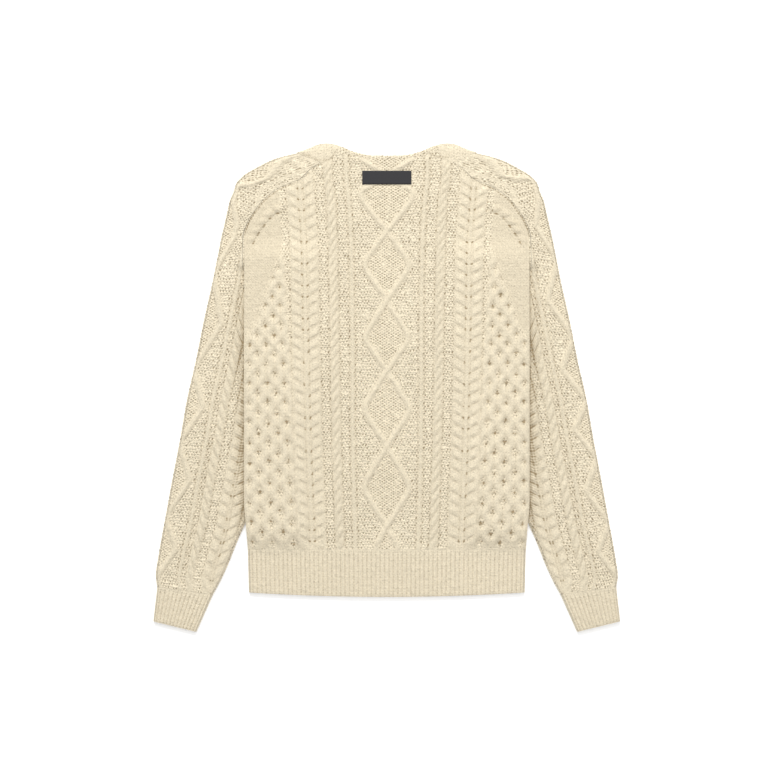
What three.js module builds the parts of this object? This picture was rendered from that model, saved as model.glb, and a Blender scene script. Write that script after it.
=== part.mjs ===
// Cable knit pullover laid face down, its back showing and its sleeves along its sides
import * as THREE from "three";

// Cloth, in millimetres
const CLOTH = 3.0;
const GAP = 0.3;
const LAYER = CLOTH + GAP;
const PILE = LAYER + CLOTH;
const SEAM_GAP = 0.45;
const SEAM_DIP = 0.8;
const EDGE_LIP = 0.6;
const FOLD = PILE / 2;
const EDGE_IN = FOLD * 0.29;

// Height of each knitted pattern over the plain cloth
const RIDGE_HIGH = 2.4;
const MOSS_HIGH = 0.6;
const LINE_HIGH = 1.8;
const ROPE_HIGH = 2.8;
const ROPE_LOW = 1.1;
const WHEAT_HIGH = 3.0;
const WHEAT_LOW = 1.2;
const COMB_HIGH = 3.0;
const COMB_JOIN = 1.6;
const COMB_HOLE = -0.3;
const RIB_HIGH = 1.0;

// Widths and repeats of the patterns
const RIDGE_HALF = 4.5;
const LINE_HALF = 3.0;
const ROPE_HALF = 7.0;
const ROPE_CREST = 3.0;
const WHEAT_CREST = [9.5, 17.5];
const WHEAT_EDGE = [4.5, 22.5];
const WHEAT_MIDDLE = 13.5;
const WHEAT_SPREAD = 4;
const CROSS_PITCH = 17.3;
const WHEAT_SLOPE = 0.42;
const ROPE_SLOPE = 1.3;
const COMB_PITCH = 31;
const COMB_SWAY = 2.6;
const COMB_COLUMNS = 4;
const COMB_TOP = 186;
const COMB_EDGE = 8;
const RIB_PITCH = 6.75;

// Levels across the body
const HEM_TOP = -250.5;
const HEM_SIDE = -317.2;
const HEM_SAG = 6.8;
const UNDERARM = 234.8;
const NECK_POINT = 76.7;
const TRIM_TIP = 101;
const SHOULDER_TIP = 138.4;

// Half width of the body: level, half width
const SIDE = [
  [-324, 213.4], [-252, 215.1], [-221, 217.2], [-174, 220.9], [100, 221], [234.8, 220.1],
];

// Top edge of the back, neck and then armhole: distance from the middle, level
const TOP_EDGE = [
  [0, 353.2], [24.5, 353.6], [40.6, 356], [58.6, 359.6], [76.7, 363.5], [86, 357.6],
  [93, 352.6], [102.3, 346.4], [117.8, 335.6], [125.6, 327.1], [133.3, 320.9], [147.3, 315.4],
  [161.2, 310], [173.6, 302.3], [187.6, 291.4], [198.4, 278.2], [206.9, 265.8],
  [212.4, 256.5], [218.6, 241.8], [220.1, 234.8],
];

// Top edge of the front at the neck: distance from the middle, level
const FRONT_NECK = [[0, 276], [30, 282], [57, 310], [76.7, 363.5]];

// Outer edge of the neck trim: distance from the middle, level
const TRIM_EDGE = [
  [0, 359.4], [24.5, 359.8], [40.6, 362.4], [58, 367.8], [65, 371.2], [76.7, 375.3],
  [86, 377.6], [93, 378.2], [101, 377.6], [110, 375.2], [119, 371.2], [129, 367.6],
  [138.4, 364.8],
];

// Crossings and widest points of the diamonds: level, half width
const DIAMOND = [
  [-250.5, 19], [-214.7, 0], [-155.8, 38], [-90.7, 0], [-34.1, 38], [25.9, 0], [76.6, 36.5],
  [134.5, 0], [190.2, 38], [242.1, 0], [295.3, 43], [310, 38], [326, 1.5], [341, 21],
  [352.6, 37], [362, 48],
];

// Lines of the chart: level, single line, rope, wheat cable, first honeycomb column
const CHART = [
  [-250.5, 48.5, 71.5, 114.7, 144], [-167, 51, 75.2, 117.8, 148.5],
  [-91, 52.5, 77.5, 120.9, 152.7], [4, 53.2, 79.8, 123.4, 158], [120, 53.7, 81.4, 126, 164.2],
  [210, 54.9, 83.1, 127.6, 169], [283, 58.5, 86.3, 132.5, 173], [330, 63, 92, 136, 175.6],
];

// Level where the honeycomb ends: distance from the middle, level
const COMB_END = [[163, 215], [209, 85]];

// Middle of the cable under the armhole: distance from the middle, level
const ARM_CABLE = [
  [146, 285], [158, 281], [170, 276], [183, 268.5], [193, 256.5], [203, 243], [211, 229],
  [217, 214],
];
const ARM_CABLE_HALF = 8;
const ARM_CABLE_HIGH = 2.3;

// Where the sleeve lies under the body the body is raised: level, full height from there out
const RAISED_FROM = [[-251, 152], [-143, 142], [-19, 126], [89, 117], [174, 122], [235, 135]];
const RAISE = PILE + GAP;
const RAISE_RUN = 50;
const RAISE_TOP = [197, 236];
const RAISE_FOOT = [-262, -217];

// Sleeve row by row: level and distance of the fold, then distance and level of the inner edge
const SLEEVE = [
  [-308, 355.5, 269, -320.3], [-290.6, 357.9, 258.5, -301], [-267.4, 354.8, 246.3, -275],
  [-236, 349.5, 232.4, -240], [-205.4, 343.8, 218.6, -208], [-143.4, 332.5, 197, -146],
  [-81.4, 320.5, 176.5, -83], [-19.4, 309.7, 158, -20], [42.6, 295.7, 148, 42],
  [104.6, 283.3, 150, 104], [135, 276.5, 168, 135], [166.6, 269.4, 203, 166],
  [180, 266.8, 221.7, 186], [205, 261.8, 221.9, 212], [234.8, 256, 220.1, 234.8],
  [248, 252.9, 216, 0], [272, 247.3, 210, 0], [290.6, 243, 202.7, 0], [303, 237.6, 193, 0],
  [315.4, 233.7, 180.6, 0], [327.8, 222.9, 167.5, 0], [340.2, 202.7, 152, 0],
  [352.6, 177.9, 133.3, 0], [358.8, 157.8, 117.8, 0], [363.3, 138.4, 103, 0],
];

// Half diamonds on the sleeves, from the fold: level of the fold, width
const SLEEVE_DIAMOND = {
  left: [
    [-308, 5], [-298.4, 0], [-249, 26], [-200.7, 0], [-143, 28], [-86, 0], [-30, 28],
    [27.9, 0], [100, 29], [174.4, 0], [240, 24], [312.3, 0], [322, 22], [335, 30], [348, 19],
    [363, 0],
  ],
  right: [
    [-308, 6], [-296.8, 0], [-252, 26], [-208.5, 0], [-160, 28], [-109.3, 0], [-64, 28],
    [-20.9, 0], [28, 28], [76.7, 0], [136, 28], [194.5, 0], [250, 22], [324.7, 0],
    [331, 22], [340, 29], [350, 19], [363, 0],
  ],
};
const SLEEVE_LINE = 41;
const SLEEVE_ROPE = 59;
const SLEEVE_WHEAT = 98;
const SLEEVE_WHEAT_TOP = [-78, -38];
const SLEEVE_ROPE_TOP = 60;
const SLEEVE_LINE_TOP = 215;
const BODY_OVER = 215;
const CUFF_SQUEEZE = 0.88;

// Cuff corners: fold side and inner side, at the top and at the end
const CUFF = { foldTop: [354.6, -308.5], innerTop: [270, -320.9],
  foldEnd: [361.6, -361.9], innerEnd: [294.8, -378.2] };
const CUFF_RIBS = 12;
const HEM_RIBS = 62;

// Bare patch at the back of the neck
const PATCH = { width: 76, height: 21, level: 324.9, thickness: 0.9, lift: 0.3 };
const PATCH_BEVEL = 0.3;
const PATCH_CLEAR = 3;
const PATCH_ROWS = [-1, 1].map((way) => PATCH.level + way * (PATCH.height / 2 + PATCH_CLEAR - 0.1));

const WOOL = new THREE.MeshStandardMaterial({ name: "cream_wool", color: 0xe6dbbf, roughness: 0.95 });
const FELT = new THREE.MeshStandardMaterial({ name: "charcoal_patch", color: 0x434244, roughness: 0.85 });

function clamp(value, low, high) {
  return Math.min(high, Math.max(low, value));
}

function mix(a, b, t) {
  return a + (b - a) * t;
}

function ease(from, to, value) {
  const t = clamp((value - from) / (to - from), 0, 1);
  return t * t * (3 - 2 * t);
}

// Straight-line reading of a table
function line(table, key, column = 1) {
  let i = 0;
  while (i < table.length - 2 && key > table[i + 1][0]) i += 1;
  const t = clamp((key - table[i][0]) / (table[i + 1][0] - table[i][0]), 0, 1);
  return mix(table[i][column], table[i + 1][column], t);
}

// Smooth reading of a table that never swings past its values
function curve(table, key, column = 1) {
  const last = table.length - 1;
  let i = 0;
  while (i < last - 1 && key > table[i + 1][0]) i += 1;
  const slope = (k) => (table[k + 1][column] - table[k][column]) / (table[k + 1][0] - table[k][0]);
  const tangent = (k) => {
    if (k === 0) return slope(0);
    if (k === last) return slope(last - 1);
    const before = slope(k - 1);
    const after = slope(k);
    return before * after <= 0 ? 0 : (2 * before * after) / (before + after);
  };
  const span = table[i + 1][0] - table[i][0];
  const t = clamp((key - table[i][0]) / span, 0, 1);
  const a = table[i][column];
  const b = table[i + 1][column];
  const rise = 3 * t * t - 2 * t * t * t;
  const start = t * (1 - t) * (1 - t) * span * tangent(i);
  const end = t * t * (t - 1) * span * tangent(i + 1);
  return mix(a, b, rise) + start + end;
}

const sideAt = (y) => curve(SIDE, y);
const topAt = (x) => curve(TOP_EDGE, Math.abs(x));
const chartAt = (y, column) => curve(CHART, y, column);
const diamondAt = (y) => line(DIAMOND, y);

function raiseAt(x, y) {
  const along = ease(RAISE_FOOT[0], RAISE_FOOT[1], y) * (1 - ease(RAISE_TOP[0], RAISE_TOP[1], y));
  const from = curve(RAISED_FROM, y);
  return RAISE * along * ease(from - RAISE_RUN, from, Math.abs(x));
}

// Triangles between two rows of numbered points, each with its place along the row
function zip(faces, a, b, turned = false) {
  const face = (p, q, r) => faces.push(p, turned ? r : q, turned ? q : r);
  let i = 0;
  let j = 0;
  while (i < a.length - 1 || j < b.length - 1) {
    const stepA = j === b.length - 1 || (i < a.length - 1 && a[i + 1].v <= b[j + 1].v + 1e-6);
    if (stepA) {
      face(a[i].id, b[j].id, a[i + 1].id);
      i += 1;
    } else {
      face(a[i].id, b[j].id, b[j + 1].id);
      j += 1;
    }
  }
}

function toMesh(name, material, points, faces) {
  let volume = 0;
  const a = new THREE.Vector3();
  const b = new THREE.Vector3();
  const c = new THREE.Vector3();
  for (let i = 0; i < faces.length; i += 3) {
    a.fromArray(points[faces[i]]);
    b.fromArray(points[faces[i + 1]]);
    c.fromArray(points[faces[i + 2]]);
    volume += a.dot(b.cross(c));
  }
  const order = volume > 0 ? faces : faces.slice().reverse();
  const geometry = new THREE.BufferGeometry();
  geometry.setAttribute("position", new THREE.Float32BufferAttribute(points.flat(), 3));
  geometry.setIndex(order);
  geometry.computeVertexNormals();
  const mesh = new THREE.Mesh(geometry, material);
  mesh.name = name;
  return mesh;
}

// Numbers the points of each column; a column holds rows [x, y, z, place]
function number(points, columns) {
  return columns.map((column) => column.map(([x, y, z, v]) => {
    points.push([x, y, z]);
    return { id: points.length - 1, v };
  }));
}

// Each end of a run of columns, with the place of the column across the piece
function ends(numbered, places, atEnd) {
  return numbered.map((column, k) => ({
    id: column[atEnd ? column.length - 1 : 0].id, v: places[k],
  }));
}

// A sheet with two faces: both run across the piece from the same edge to the other
function sheet(name, material, outer, outerPlaces, inner, innerPlaces) {
  const points = [];
  const faces = [];
  const top = number(points, outer);
  const bottom = number(points, inner);
  for (let k = 0; k + 1 < top.length; k += 1) zip(faces, top[k], top[k + 1]);
  for (let k = 0; k + 1 < bottom.length; k += 1) zip(faces, bottom[k], bottom[k + 1], true);
  zip(faces, bottom[0], top[0]);
  zip(faces, top[top.length - 1], bottom[bottom.length - 1]);
  zip(faces, ends(bottom, innerPlaces, true), ends(top, outerPlaces, true));
  zip(faces, ends(top, outerPlaces, false), ends(bottom, innerPlaces, false));
  return toMesh(name, material, points, faces);
}

// A flat tube, open at both ends: the columns go round it once
function tube(name, material, outer, outerPlaces, inner, innerPlaces) {
  const points = [];
  const faces = [];
  const out = number(points, outer);
  const inn = number(points, inner);
  out.forEach((column, k) => zip(faces, column, out[(k + 1) % out.length]));
  inn.forEach((column, k) => zip(faces, column, inn[(k + 1) % inn.length], true));
  for (const atEnd of [true, false]) {
    const rim = ends(out, outerPlaces, atEnd);
    const bore = ends(inn, innerPlaces, atEnd);
    rim.push({ id: rim[0].id, v: Infinity });
    bore.push({ id: bore[0].id, v: Infinity });
    if (atEnd) zip(faces, bore, rim);
    else zip(faces, rim, bore);
  }
  return toMesh(name, material, points, faces);
}

function steps(from, to, pitch) {
  const count = Math.max(1, Math.round(Math.abs(to - from) / pitch));
  return Array.from({ length: count + 1 }, (unused, k) => mix(from, to, k / count));
}

// Levels of the rows of a plain line, close together where the body rises over the sleeves
function plainRows(pitch) {
  return [...steps(HEM_TOP, RAISE_FOOT[1], 11),
    ...steps(RAISE_FOOT[1] + 22, RAISE_TOP[0] - 22, pitch),
    ...steps(RAISE_TOP[0], RAISE_TOP[1] - 2, 9)];
}

// Level at which a line that runs up the body meets the top edge
function levelOfEnd(place, edge) {
  let low = 150;
  let high = 372;
  for (let i = 0; i < 40; i += 1) {
    const middle = (low + high) / 2;
    if (edge(place(middle)) > middle) low = middle;
    else high = middle;
  }
  return low;
}

function onPatch(x, y) {
  const across = Math.abs(x) < PATCH.width / 2 + PATCH_CLEAR;
  return across && Math.abs(y - PATCH.level) < PATCH.height / 2 + PATCH_CLEAR;
}

// Cable that follows the armhole over the plain shoulder of the back
function armCable(x, y) {
  const far = Math.abs(x);
  if (far < ARM_CABLE[0][0] || far > ARM_CABLE[ARM_CABLE.length - 1][0]) return 0;
  const fall = (curve(ARM_CABLE, far - 1) - curve(ARM_CABLE, far + 1)) / 2;
  const off = (curve(ARM_CABLE, far) - y) / Math.hypot(1, fall) / ARM_CABLE_HALF;
  return Math.abs(off) < 1 ? ARM_CABLE_HIGH * Math.sqrt(1 - off * off) : 0;
}

// Height of a lobe of a crossed cable
function lobe(y, u, slope, low, high) {
  return mix(low, high, 0.5 + 0.5 * Math.cos((2 * Math.PI * (y - slope * u)) / CROSS_PITCH));
}

// Levels of the rows that follow the lobes of a cable
function lobeRows(u, slope) {
  const first = Math.ceil((HEM_TOP - 20) / CROSS_PITCH);
  return Array.from({ length: 80 }, (unused, k) => (first + k / 2) * CROSS_PITCH + slope * u);
}

// Lines up one side of the back: place at a level, rows, height over the plain cloth
function backLines(side) {
  const lines = [];
  const add = (place, rows, up) => lines.push({ place, rows, up });
  const flat = () => 0;
  const coarse = steps(HEM_TOP, 360, 44);
  const ramped = [...plainRows(37), 262, 300, 330];
  const zigzag = DIAMOND.map((row) => row[0]);
  const half = zigzag.slice(0, -1).map((y, k) => (y + zigzag[k + 1]) / 2);
  const fine = [...zigzag, ...half, ...PATCH_ROWS].sort((a, b) => a - b);
  const ridge = (y) => Math.max(diamondAt(y), 3);
  const crossing = (y) => (diamondAt(y) < RIDGE_HALF ? RIDGE_HIGH : MOSS_HIGH);
  add((y) => Math.max(ridge(y) - RIDGE_HALF, 1.6), fine, (x, y) => crossing(y));
  add(ridge, fine, () => RIDGE_HIGH);
  add((y) => ridge(y) + RIDGE_HALF, fine, flat);
  add((y) => chartAt(y, 1) - LINE_HALF, coarse, flat);
  add((y) => chartAt(y, 1), coarse, () => LINE_HIGH);
  add((y) => chartAt(y, 1) + LINE_HALF, coarse, flat);
  add((y) => mix(chartAt(y, 1), chartAt(y, 2), mix(0.4, 0.46, ease(300, 363, y))), ramped, flat);
  add((y) => chartAt(y, 2) - ROPE_HALF, ramped, flat);
  for (const u of [-ROPE_CREST, ROPE_CREST]) {
    const slope = ROPE_SLOPE;
    const rows = lobeRows(u * side, slope);
    const up = (x, y) => lobe(y, u * side, slope, ROPE_LOW, ROPE_HIGH);
    add((y) => chartAt(y, 2) + u, rows, up);
  }
  add((y) => chartAt(y, 2) + ROPE_HALF, ramped, flat);
  const wheat = (u, high) => {
    const outward = Math.sign(u);
    const slope = WHEAT_SLOPE * outward;
    const across = u - outward * WHEAT_MIDDLE;
    const rows = high ? lobeRows(across, slope) : ramped;
    const up = (x, y) => (high ? lobe(y, across, slope, WHEAT_LOW, WHEAT_HIGH) : 0);
    add((y) => chartAt(y, 3) + u, rows, up);
  };
  wheat(-WHEAT_EDGE[1], false);
  wheat(-WHEAT_CREST[1], true);
  wheat(-WHEAT_CREST[0], true);
  wheat(-WHEAT_EDGE[0], false);
  add((y) => chartAt(y, 3), ramped, () => 1);
  wheat(WHEAT_EDGE[0], false);
  wheat(WHEAT_CREST[0], true);
  wheat(WHEAT_CREST[1], true);
  wheat(WHEAT_EDGE[1], false);
  const lastPlace = (y) => sideAt(y) - COMB_EDGE;
  const combPlace = (y, k) => mix(chartAt(y, 4), lastPlace(y), k / COMB_COLUMNS);
  const combFade = (x, y) => 1 - ease(-12, 8, y - line(COMB_END, x));
  const shoulder = steps(190, 330, 9);
  for (let k = 0; k <= COMB_COLUMNS; k += 1) {
    const start = HEM_TOP + 10 + (k % 2) * (COMB_PITCH / 2);
    const rows = steps(start, start + 14 * COMB_PITCH, COMB_PITCH / 2).filter((y) => y < COMB_TOP);
    const beat = (y) => Math.cos((2 * Math.PI * (y - start)) / COMB_PITCH);
    const holes = (x, y) => {
      const depth = mix(COMB_JOIN, COMB_HOLE, 0.5 + 0.5 * beat(y));
      return depth * combFade(x, y) + armCable(x, y);
    };
    const ropes = (x, y) => COMB_HIGH * combFade(x, y) + armCable(x, y);
    add((y) => combPlace(y, k), [...rows, ...shoulder], holes);
    if (k === COMB_COLUMNS) break;
    const sway = (y) => {
      const x = combPlace(y, k + 0.5);
      return x + COMB_SWAY * beat(y) * combFade(x, y);
    };
    add(sway, [...rows, ...shoulder], ropes);
  }
  return lines;
}

// One column of the back's outer face, from the hem to the top edge
function backColumn({ place, rows, up }, side) {
  const end = levelOfEnd(place, topAt);
  const inside = rows.filter((y) => y > HEM_TOP + 3 && y < end - 5);
  const point = (y, relief, dip) => {
    const x = place(y) * side;
    const over = onPatch(x, y) ? Math.min(relief, MOSS_HIGH) : relief;
    return [x, y, PILE + raiseAt(x, y) + over - dip, y];
  };
  const column = [point(HEM_TOP, up(place(HEM_TOP), HEM_TOP), SEAM_DIP)];
  for (const y of inside) {
    const fade = ease(3, 12, end - y);
    column.push(point(y, up(place(y), y) * fade, 0));
  }
  column.push(point(end - 2.5, 0, 0));
  column.push(point(end, 0, SEAM_DIP));
  column[column.length - 1][1] = topAt(place(end));
  return column;
}

// Side edge of the back or the front, rounded towards the other
function sideColumn(inset, height, side) {
  const place = (y) => sideAt(y) - inset;
  const end = inset === 0 ? UNDERARM : levelOfEnd(place, topAt);
  const rows = [...plainRows(31).filter((y) => y < end - 3), end];
  return rows.map((y) => [side * place(y), y, raiseAt(place(y), y) + height, y]);
}

// Plain face shared by the back's inner side and the front
const PLAIN_LINES = [0, 30, 57, 76.7, 97, 115, 133.3, 161, 187, 207];
function plainColumns(height, neckEdge) {
  const columns = [];
  const places = [];
  const edge = (x) => (Math.abs(x) < NECK_POINT + 1 ? neckEdge(x) : topAt(x)) - 2 * SEAM_GAP;
  const addColumn = (x) => {
    const end = edge(x);
    const middle = Math.abs(x) < 60;
    const levels = middle ? steps(HEM_TOP, 240, 165) : [...plainRows(31), 262, 300];
    const rows = [...levels.filter((y) => y < end - 6), end];
    columns.push(rows.map((y) => [x, y, raiseAt(x, y) + height, y]));
    places.push(x);
  };
  const sideLine = (side) => {
    columns.push(sideColumn(0, height, side));
    places.push(side * sideAt(0));
  };
  sideLine(-1);
  for (const x of [...PLAIN_LINES].reverse()) if (x > 0) addColumn(-x);
  for (const x of PLAIN_LINES) addColumn(x);
  sideLine(1);
  return { columns, places };
}

function buildBack() {
  const columns = [];
  const places = [];
  const push = (column) => {
    columns.push(column);
    places.push(column[column.length - 1][0]);
  };
  push(sideColumn(0, LAYER + EDGE_LIP, -1));
  push(sideColumn(EDGE_IN, PILE - EDGE_IN, -1));
  push(sideColumn(FOLD, PILE, -1));
  for (const spec of backLines(-1).reverse()) push(backColumn(spec, -1));
  const levels = [...DIAMOND.map((row) => row[0]), ...PATCH_ROWS].sort((a, b) => a - b);
  const up = (x, y) => (diamondAt(y) < RIDGE_HALF ? RIDGE_HIGH : MOSS_HIGH);
  push(backColumn({ place: () => 0, rows: levels, up }, 1));
  for (const spec of backLines(1)) push(backColumn(spec, 1));
  push(sideColumn(FOLD, PILE, 1));
  push(sideColumn(EDGE_IN, PILE - EDGE_IN, 1));
  push(sideColumn(0, LAYER + EDGE_LIP, 1));
  const inner = plainColumns(LAYER, topAt);
  return sheet("back_panel", WOOL, columns, places, inner.columns, inner.places);
}

function buildFront() {
  const neck = (x) => line(FRONT_NECK, Math.abs(x));
  const upper = plainColumns(CLOTH, neck);
  const lower = plainColumns(0, neck);
  const edge = (side) => [
    sideColumn(0, CLOTH - EDGE_LIP, side), sideColumn(EDGE_IN, EDGE_IN, side),
    sideColumn(FOLD, 0, side),
  ];
  const edgePlaces = [0, EDGE_IN, FOLD].map((inset) => sideAt(0) - inset);
  const columns = [...edge(-1), ...lower.columns.slice(1, -1), ...edge(1).reverse()];
  const places = [
    ...edgePlaces.map((x) => -x), ...lower.places.slice(1, -1), ...edgePlaces.slice().reverse(),
  ];
  return sheet("front_panel", WOOL, upper.columns, upper.places, columns, places);
}

// Point of the sleeve at a distance from its fold
function sleeveAt(level, distance) {
  const foldX = curve(SLEEVE, level, 1);
  let innerX = curve(SLEEVE, level, 2);
  let innerY = curve(SLEEVE, Math.min(level, UNDERARM), 3);
  if (level > UNDERARM) {
    innerX = line(SLEEVE, level, 2);
    const fall = (topAt(innerX - 0.5) - topAt(innerX + 0.5));
    innerY = topAt(innerX) + SEAM_GAP * Math.hypot(1, fall);
  }
  const width = Math.hypot(innerX - foldX, innerY - level);
  const t = distance(width) / width;
  return { x: mix(foldX, innerX, t), y: mix(level, innerY, t), t, width };
}

// Levels of the sleeve's rows where the ends of the back's columns meet it
function armholeRows() {
  const edges = [FOLD, EDGE_IN].map((inset) => (y) => sideAt(y) - inset);
  const lines = [...backLines(1).map((spec) => spec.place), ...edges];
  const ends = lines.map((place) => place(levelOfEnd(place, topAt)));
  const found = [];
  const first = SLEEVE.findIndex((row) => row[0] === UNDERARM);
  for (const x of ends) {
    if (x < TRIM_TIP + 2 || x > SLEEVE[first][2] - 0.5) continue;
    let k = first;
    while (k < SLEEVE.length - 2 && SLEEVE[k + 1][2] > x) k += 1;
    const t = (SLEEVE[k][2] - x) / (SLEEVE[k][2] - SLEEVE[k + 1][2]);
    found.push(mix(SLEEVE[k][0], SLEEVE[k + 1][0], t));
  }
  return found.sort((a, b) => a - b);
}

function buildSleeve(side) {
  const name = side < 0 ? "sleeve_left" : "sleeve_right";
  const diamonds = side < 0 ? SLEEVE_DIAMOND.left : SLEEVE_DIAMOND.right;
  const foot = SLEEVE[0][0];
  const head = SLEEVE[SLEEVE.length - 1][0];
  const long = steps(foot, 180, 27).concat([205, UNDERARM], steps(248, head, 15));
  const seam = steps(foot, 166, 21).concat([180, 192, 205, 220, UNDERARM], armholeRows(), [head]);
  const squeeze = (level) => mix(CUFF_SQUEEZE, 1, ease(foot, foot + 108, level));
  const bare = (point) => {
    const outside = Math.abs(point.x) - sideAt(point.y);
    const besideBody = point.y < BODY_OVER ? ease(2.5, 8, outside) : 1;
    return besideBody * ease(0, 8, point.width * (1 - point.t) - 1);
  };
  const open = (level) => ease(UNDERARM, UNDERARM + 18, level);
  const footWidth = sleeveAt(foot, () => 0).width;
  const build = () => {
    const columns = [];
    const places = [];
    const add = (face, rows, distance, height) => {
      const list = rows.map((level) => {
        const point = sleeveAt(level, (width) => distance(level, width));
        return [side * point.x, point.y, height(level, point), -level];
      });
      columns.push(list.sort((a, b) => a[3] - b[3]));
      places.push(-face * distance(foot, footWidth));
    };
    return { columns, places, add };
  };
  const outer = build();
  const wall = (rows, distance, up) => {
    outer.add(1, rows, distance, (level, point) => PILE + up(level, point) * bare(point));
  };
  const plain = () => 0;
  const spaced = (distance, share) => (level, width) => (
    Math.min(distance * squeeze(level), (width - FOLD) * share));
  const cable = (middle, share, u, slope, top, low, high) => {
    const shift = u * slope;
    const crossings = steps(-20, 25, 0.5).map((k) => k * CROSS_PITCH + shift);
    const rows = crossings.filter((level) => level > foot + 6 && level < top).concat([foot, 166, 205],
      steps(UNDERARM, head, 24));
    wall(rows, spaced(middle + u, share), (level) => (
      level < top + CROSS_PITCH * 0.7 ? lobe(level, u, slope, low, high) : 0));
  };
  const wheat = (across, share, slope, top) => {
    const middle = SLEEVE_WHEAT + across;
    cable(middle, share, WHEAT_SPREAD, slope, top, WHEAT_LOW, WHEAT_HIGH);
    cable(middle, share - 0.03, -WHEAT_SPREAD, slope, top, WHEAT_LOW, WHEAT_HIGH);
  };
  const inset = (far) => (level, width) => width - far;
  outer.add(1, seam, inset(0), (level) => mix(LAYER + EDGE_LIP, PILE - SEAM_DIP, open(level)));
  outer.add(1, seam, inset(EDGE_IN), (level) => mix(PILE - EDGE_IN, PILE - SEAM_DIP / 2, open(level)));
  outer.add(1, seam, inset(FOLD), () => PILE);
  wall(long, spaced(SLEEVE_WHEAT + 20, 0.96), plain);
  wheat(11, 0.93, WHEAT_SLOPE, SLEEVE_WHEAT_TOP[0]);
  wall(long, spaced(SLEEVE_WHEAT + 2, 0.87), plain);
  wall(long, spaced(SLEEVE_WHEAT - 3, 0.84), plain);
  wheat(-10.5, 0.81, -WHEAT_SLOPE, SLEEVE_WHEAT_TOP[1]);
  wall(long, spaced(SLEEVE_WHEAT - 20, 0.75), plain);
  wall(long, spaced(SLEEVE_ROPE + ROPE_HALF, 0.72), plain);
  for (const [u, share] of [[ROPE_CREST, 0.7], [-ROPE_CREST, 0.68]]) {
    cable(SLEEVE_ROPE, share, u, -ROPE_SLOPE, SLEEVE_ROPE_TOP, ROPE_LOW, ROPE_HIGH);
  }
  wall(long, spaced(SLEEVE_ROPE - ROPE_HALF, 0.66), plain);
  wall(long, spaced(SLEEVE_LINE + LINE_HALF, 0.64), plain);
  wall(long, spaced(SLEEVE_LINE, 0.62), (level) => (level < SLEEVE_LINE_TOP ? LINE_HIGH : 0));
  wall(long, spaced(SLEEVE_LINE - LINE_HALF, 0.6), plain);
  const corners = diamonds.map((row) => row[0]).filter((level) => level > foot && level < head);
  const between = corners.slice(0, -1).map((level, k) => (level + corners[k + 1]) / 2);
  const zigzag = [...new Set([foot, ...corners, ...between, head])];
  const ridge = (level) => Math.max(line(diamonds, level), FOLD + 1.5);
  const within = (extra) => (level, width) => (
    Math.min(ridge(level) + extra, width * 0.57 + extra * 0.2));
  const clearOfFold = (level) => ease(FOLD, FOLD + 5, line(diamonds, level) + 1);
  wall(zigzag, within(RIDGE_HALF), plain);
  wall(zigzag, within(0), (level) => RIDGE_HIGH * clearOfFold(level));
  wall(zigzag, (level, width) => Math.max(within(0)(level, width) - RIDGE_HALF, FOLD + 0.7),
    (level) => MOSS_HIGH * clearOfFold(level));
  outer.add(1, long, () => FOLD, () => PILE);
  outer.add(1, long, () => EDGE_IN, () => PILE - EDGE_IN);
  outer.add(0, long, () => 0, () => FOLD);
  outer.add(-1, long, () => EDGE_IN, () => EDGE_IN);
  outer.add(-1, long, () => FOLD, () => 0);
  outer.add(-1, long, (level, width) => width / 2, () => 0);
  outer.add(-1, seam, inset(FOLD), () => 0);
  outer.add(-1, seam, inset(EDGE_IN), (level) => mix(EDGE_IN, 0, open(level)));
  outer.add(-1, seam, inset(0), (level) => mix(CLOTH - EDGE_LIP, 0, open(level)));
  const inner = build();
  inner.add(1, seam, inset(0), () => LAYER);
  inner.add(1, long, (level, width) => width * 0.6, () => LAYER);
  inner.add(1, long, () => FOLD, () => LAYER);
  inner.add(0, long, () => FOLD - GAP / 2, () => FOLD);
  inner.add(-1, long, () => FOLD, () => CLOTH);
  inner.add(-1, long, (level, width) => width * 0.6, () => CLOTH);
  inner.add(-1, seam, inset(0), () => CLOTH);
  return sheet(name, WOOL, outer.columns, outer.places, inner.columns, inner.places);
}

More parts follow.
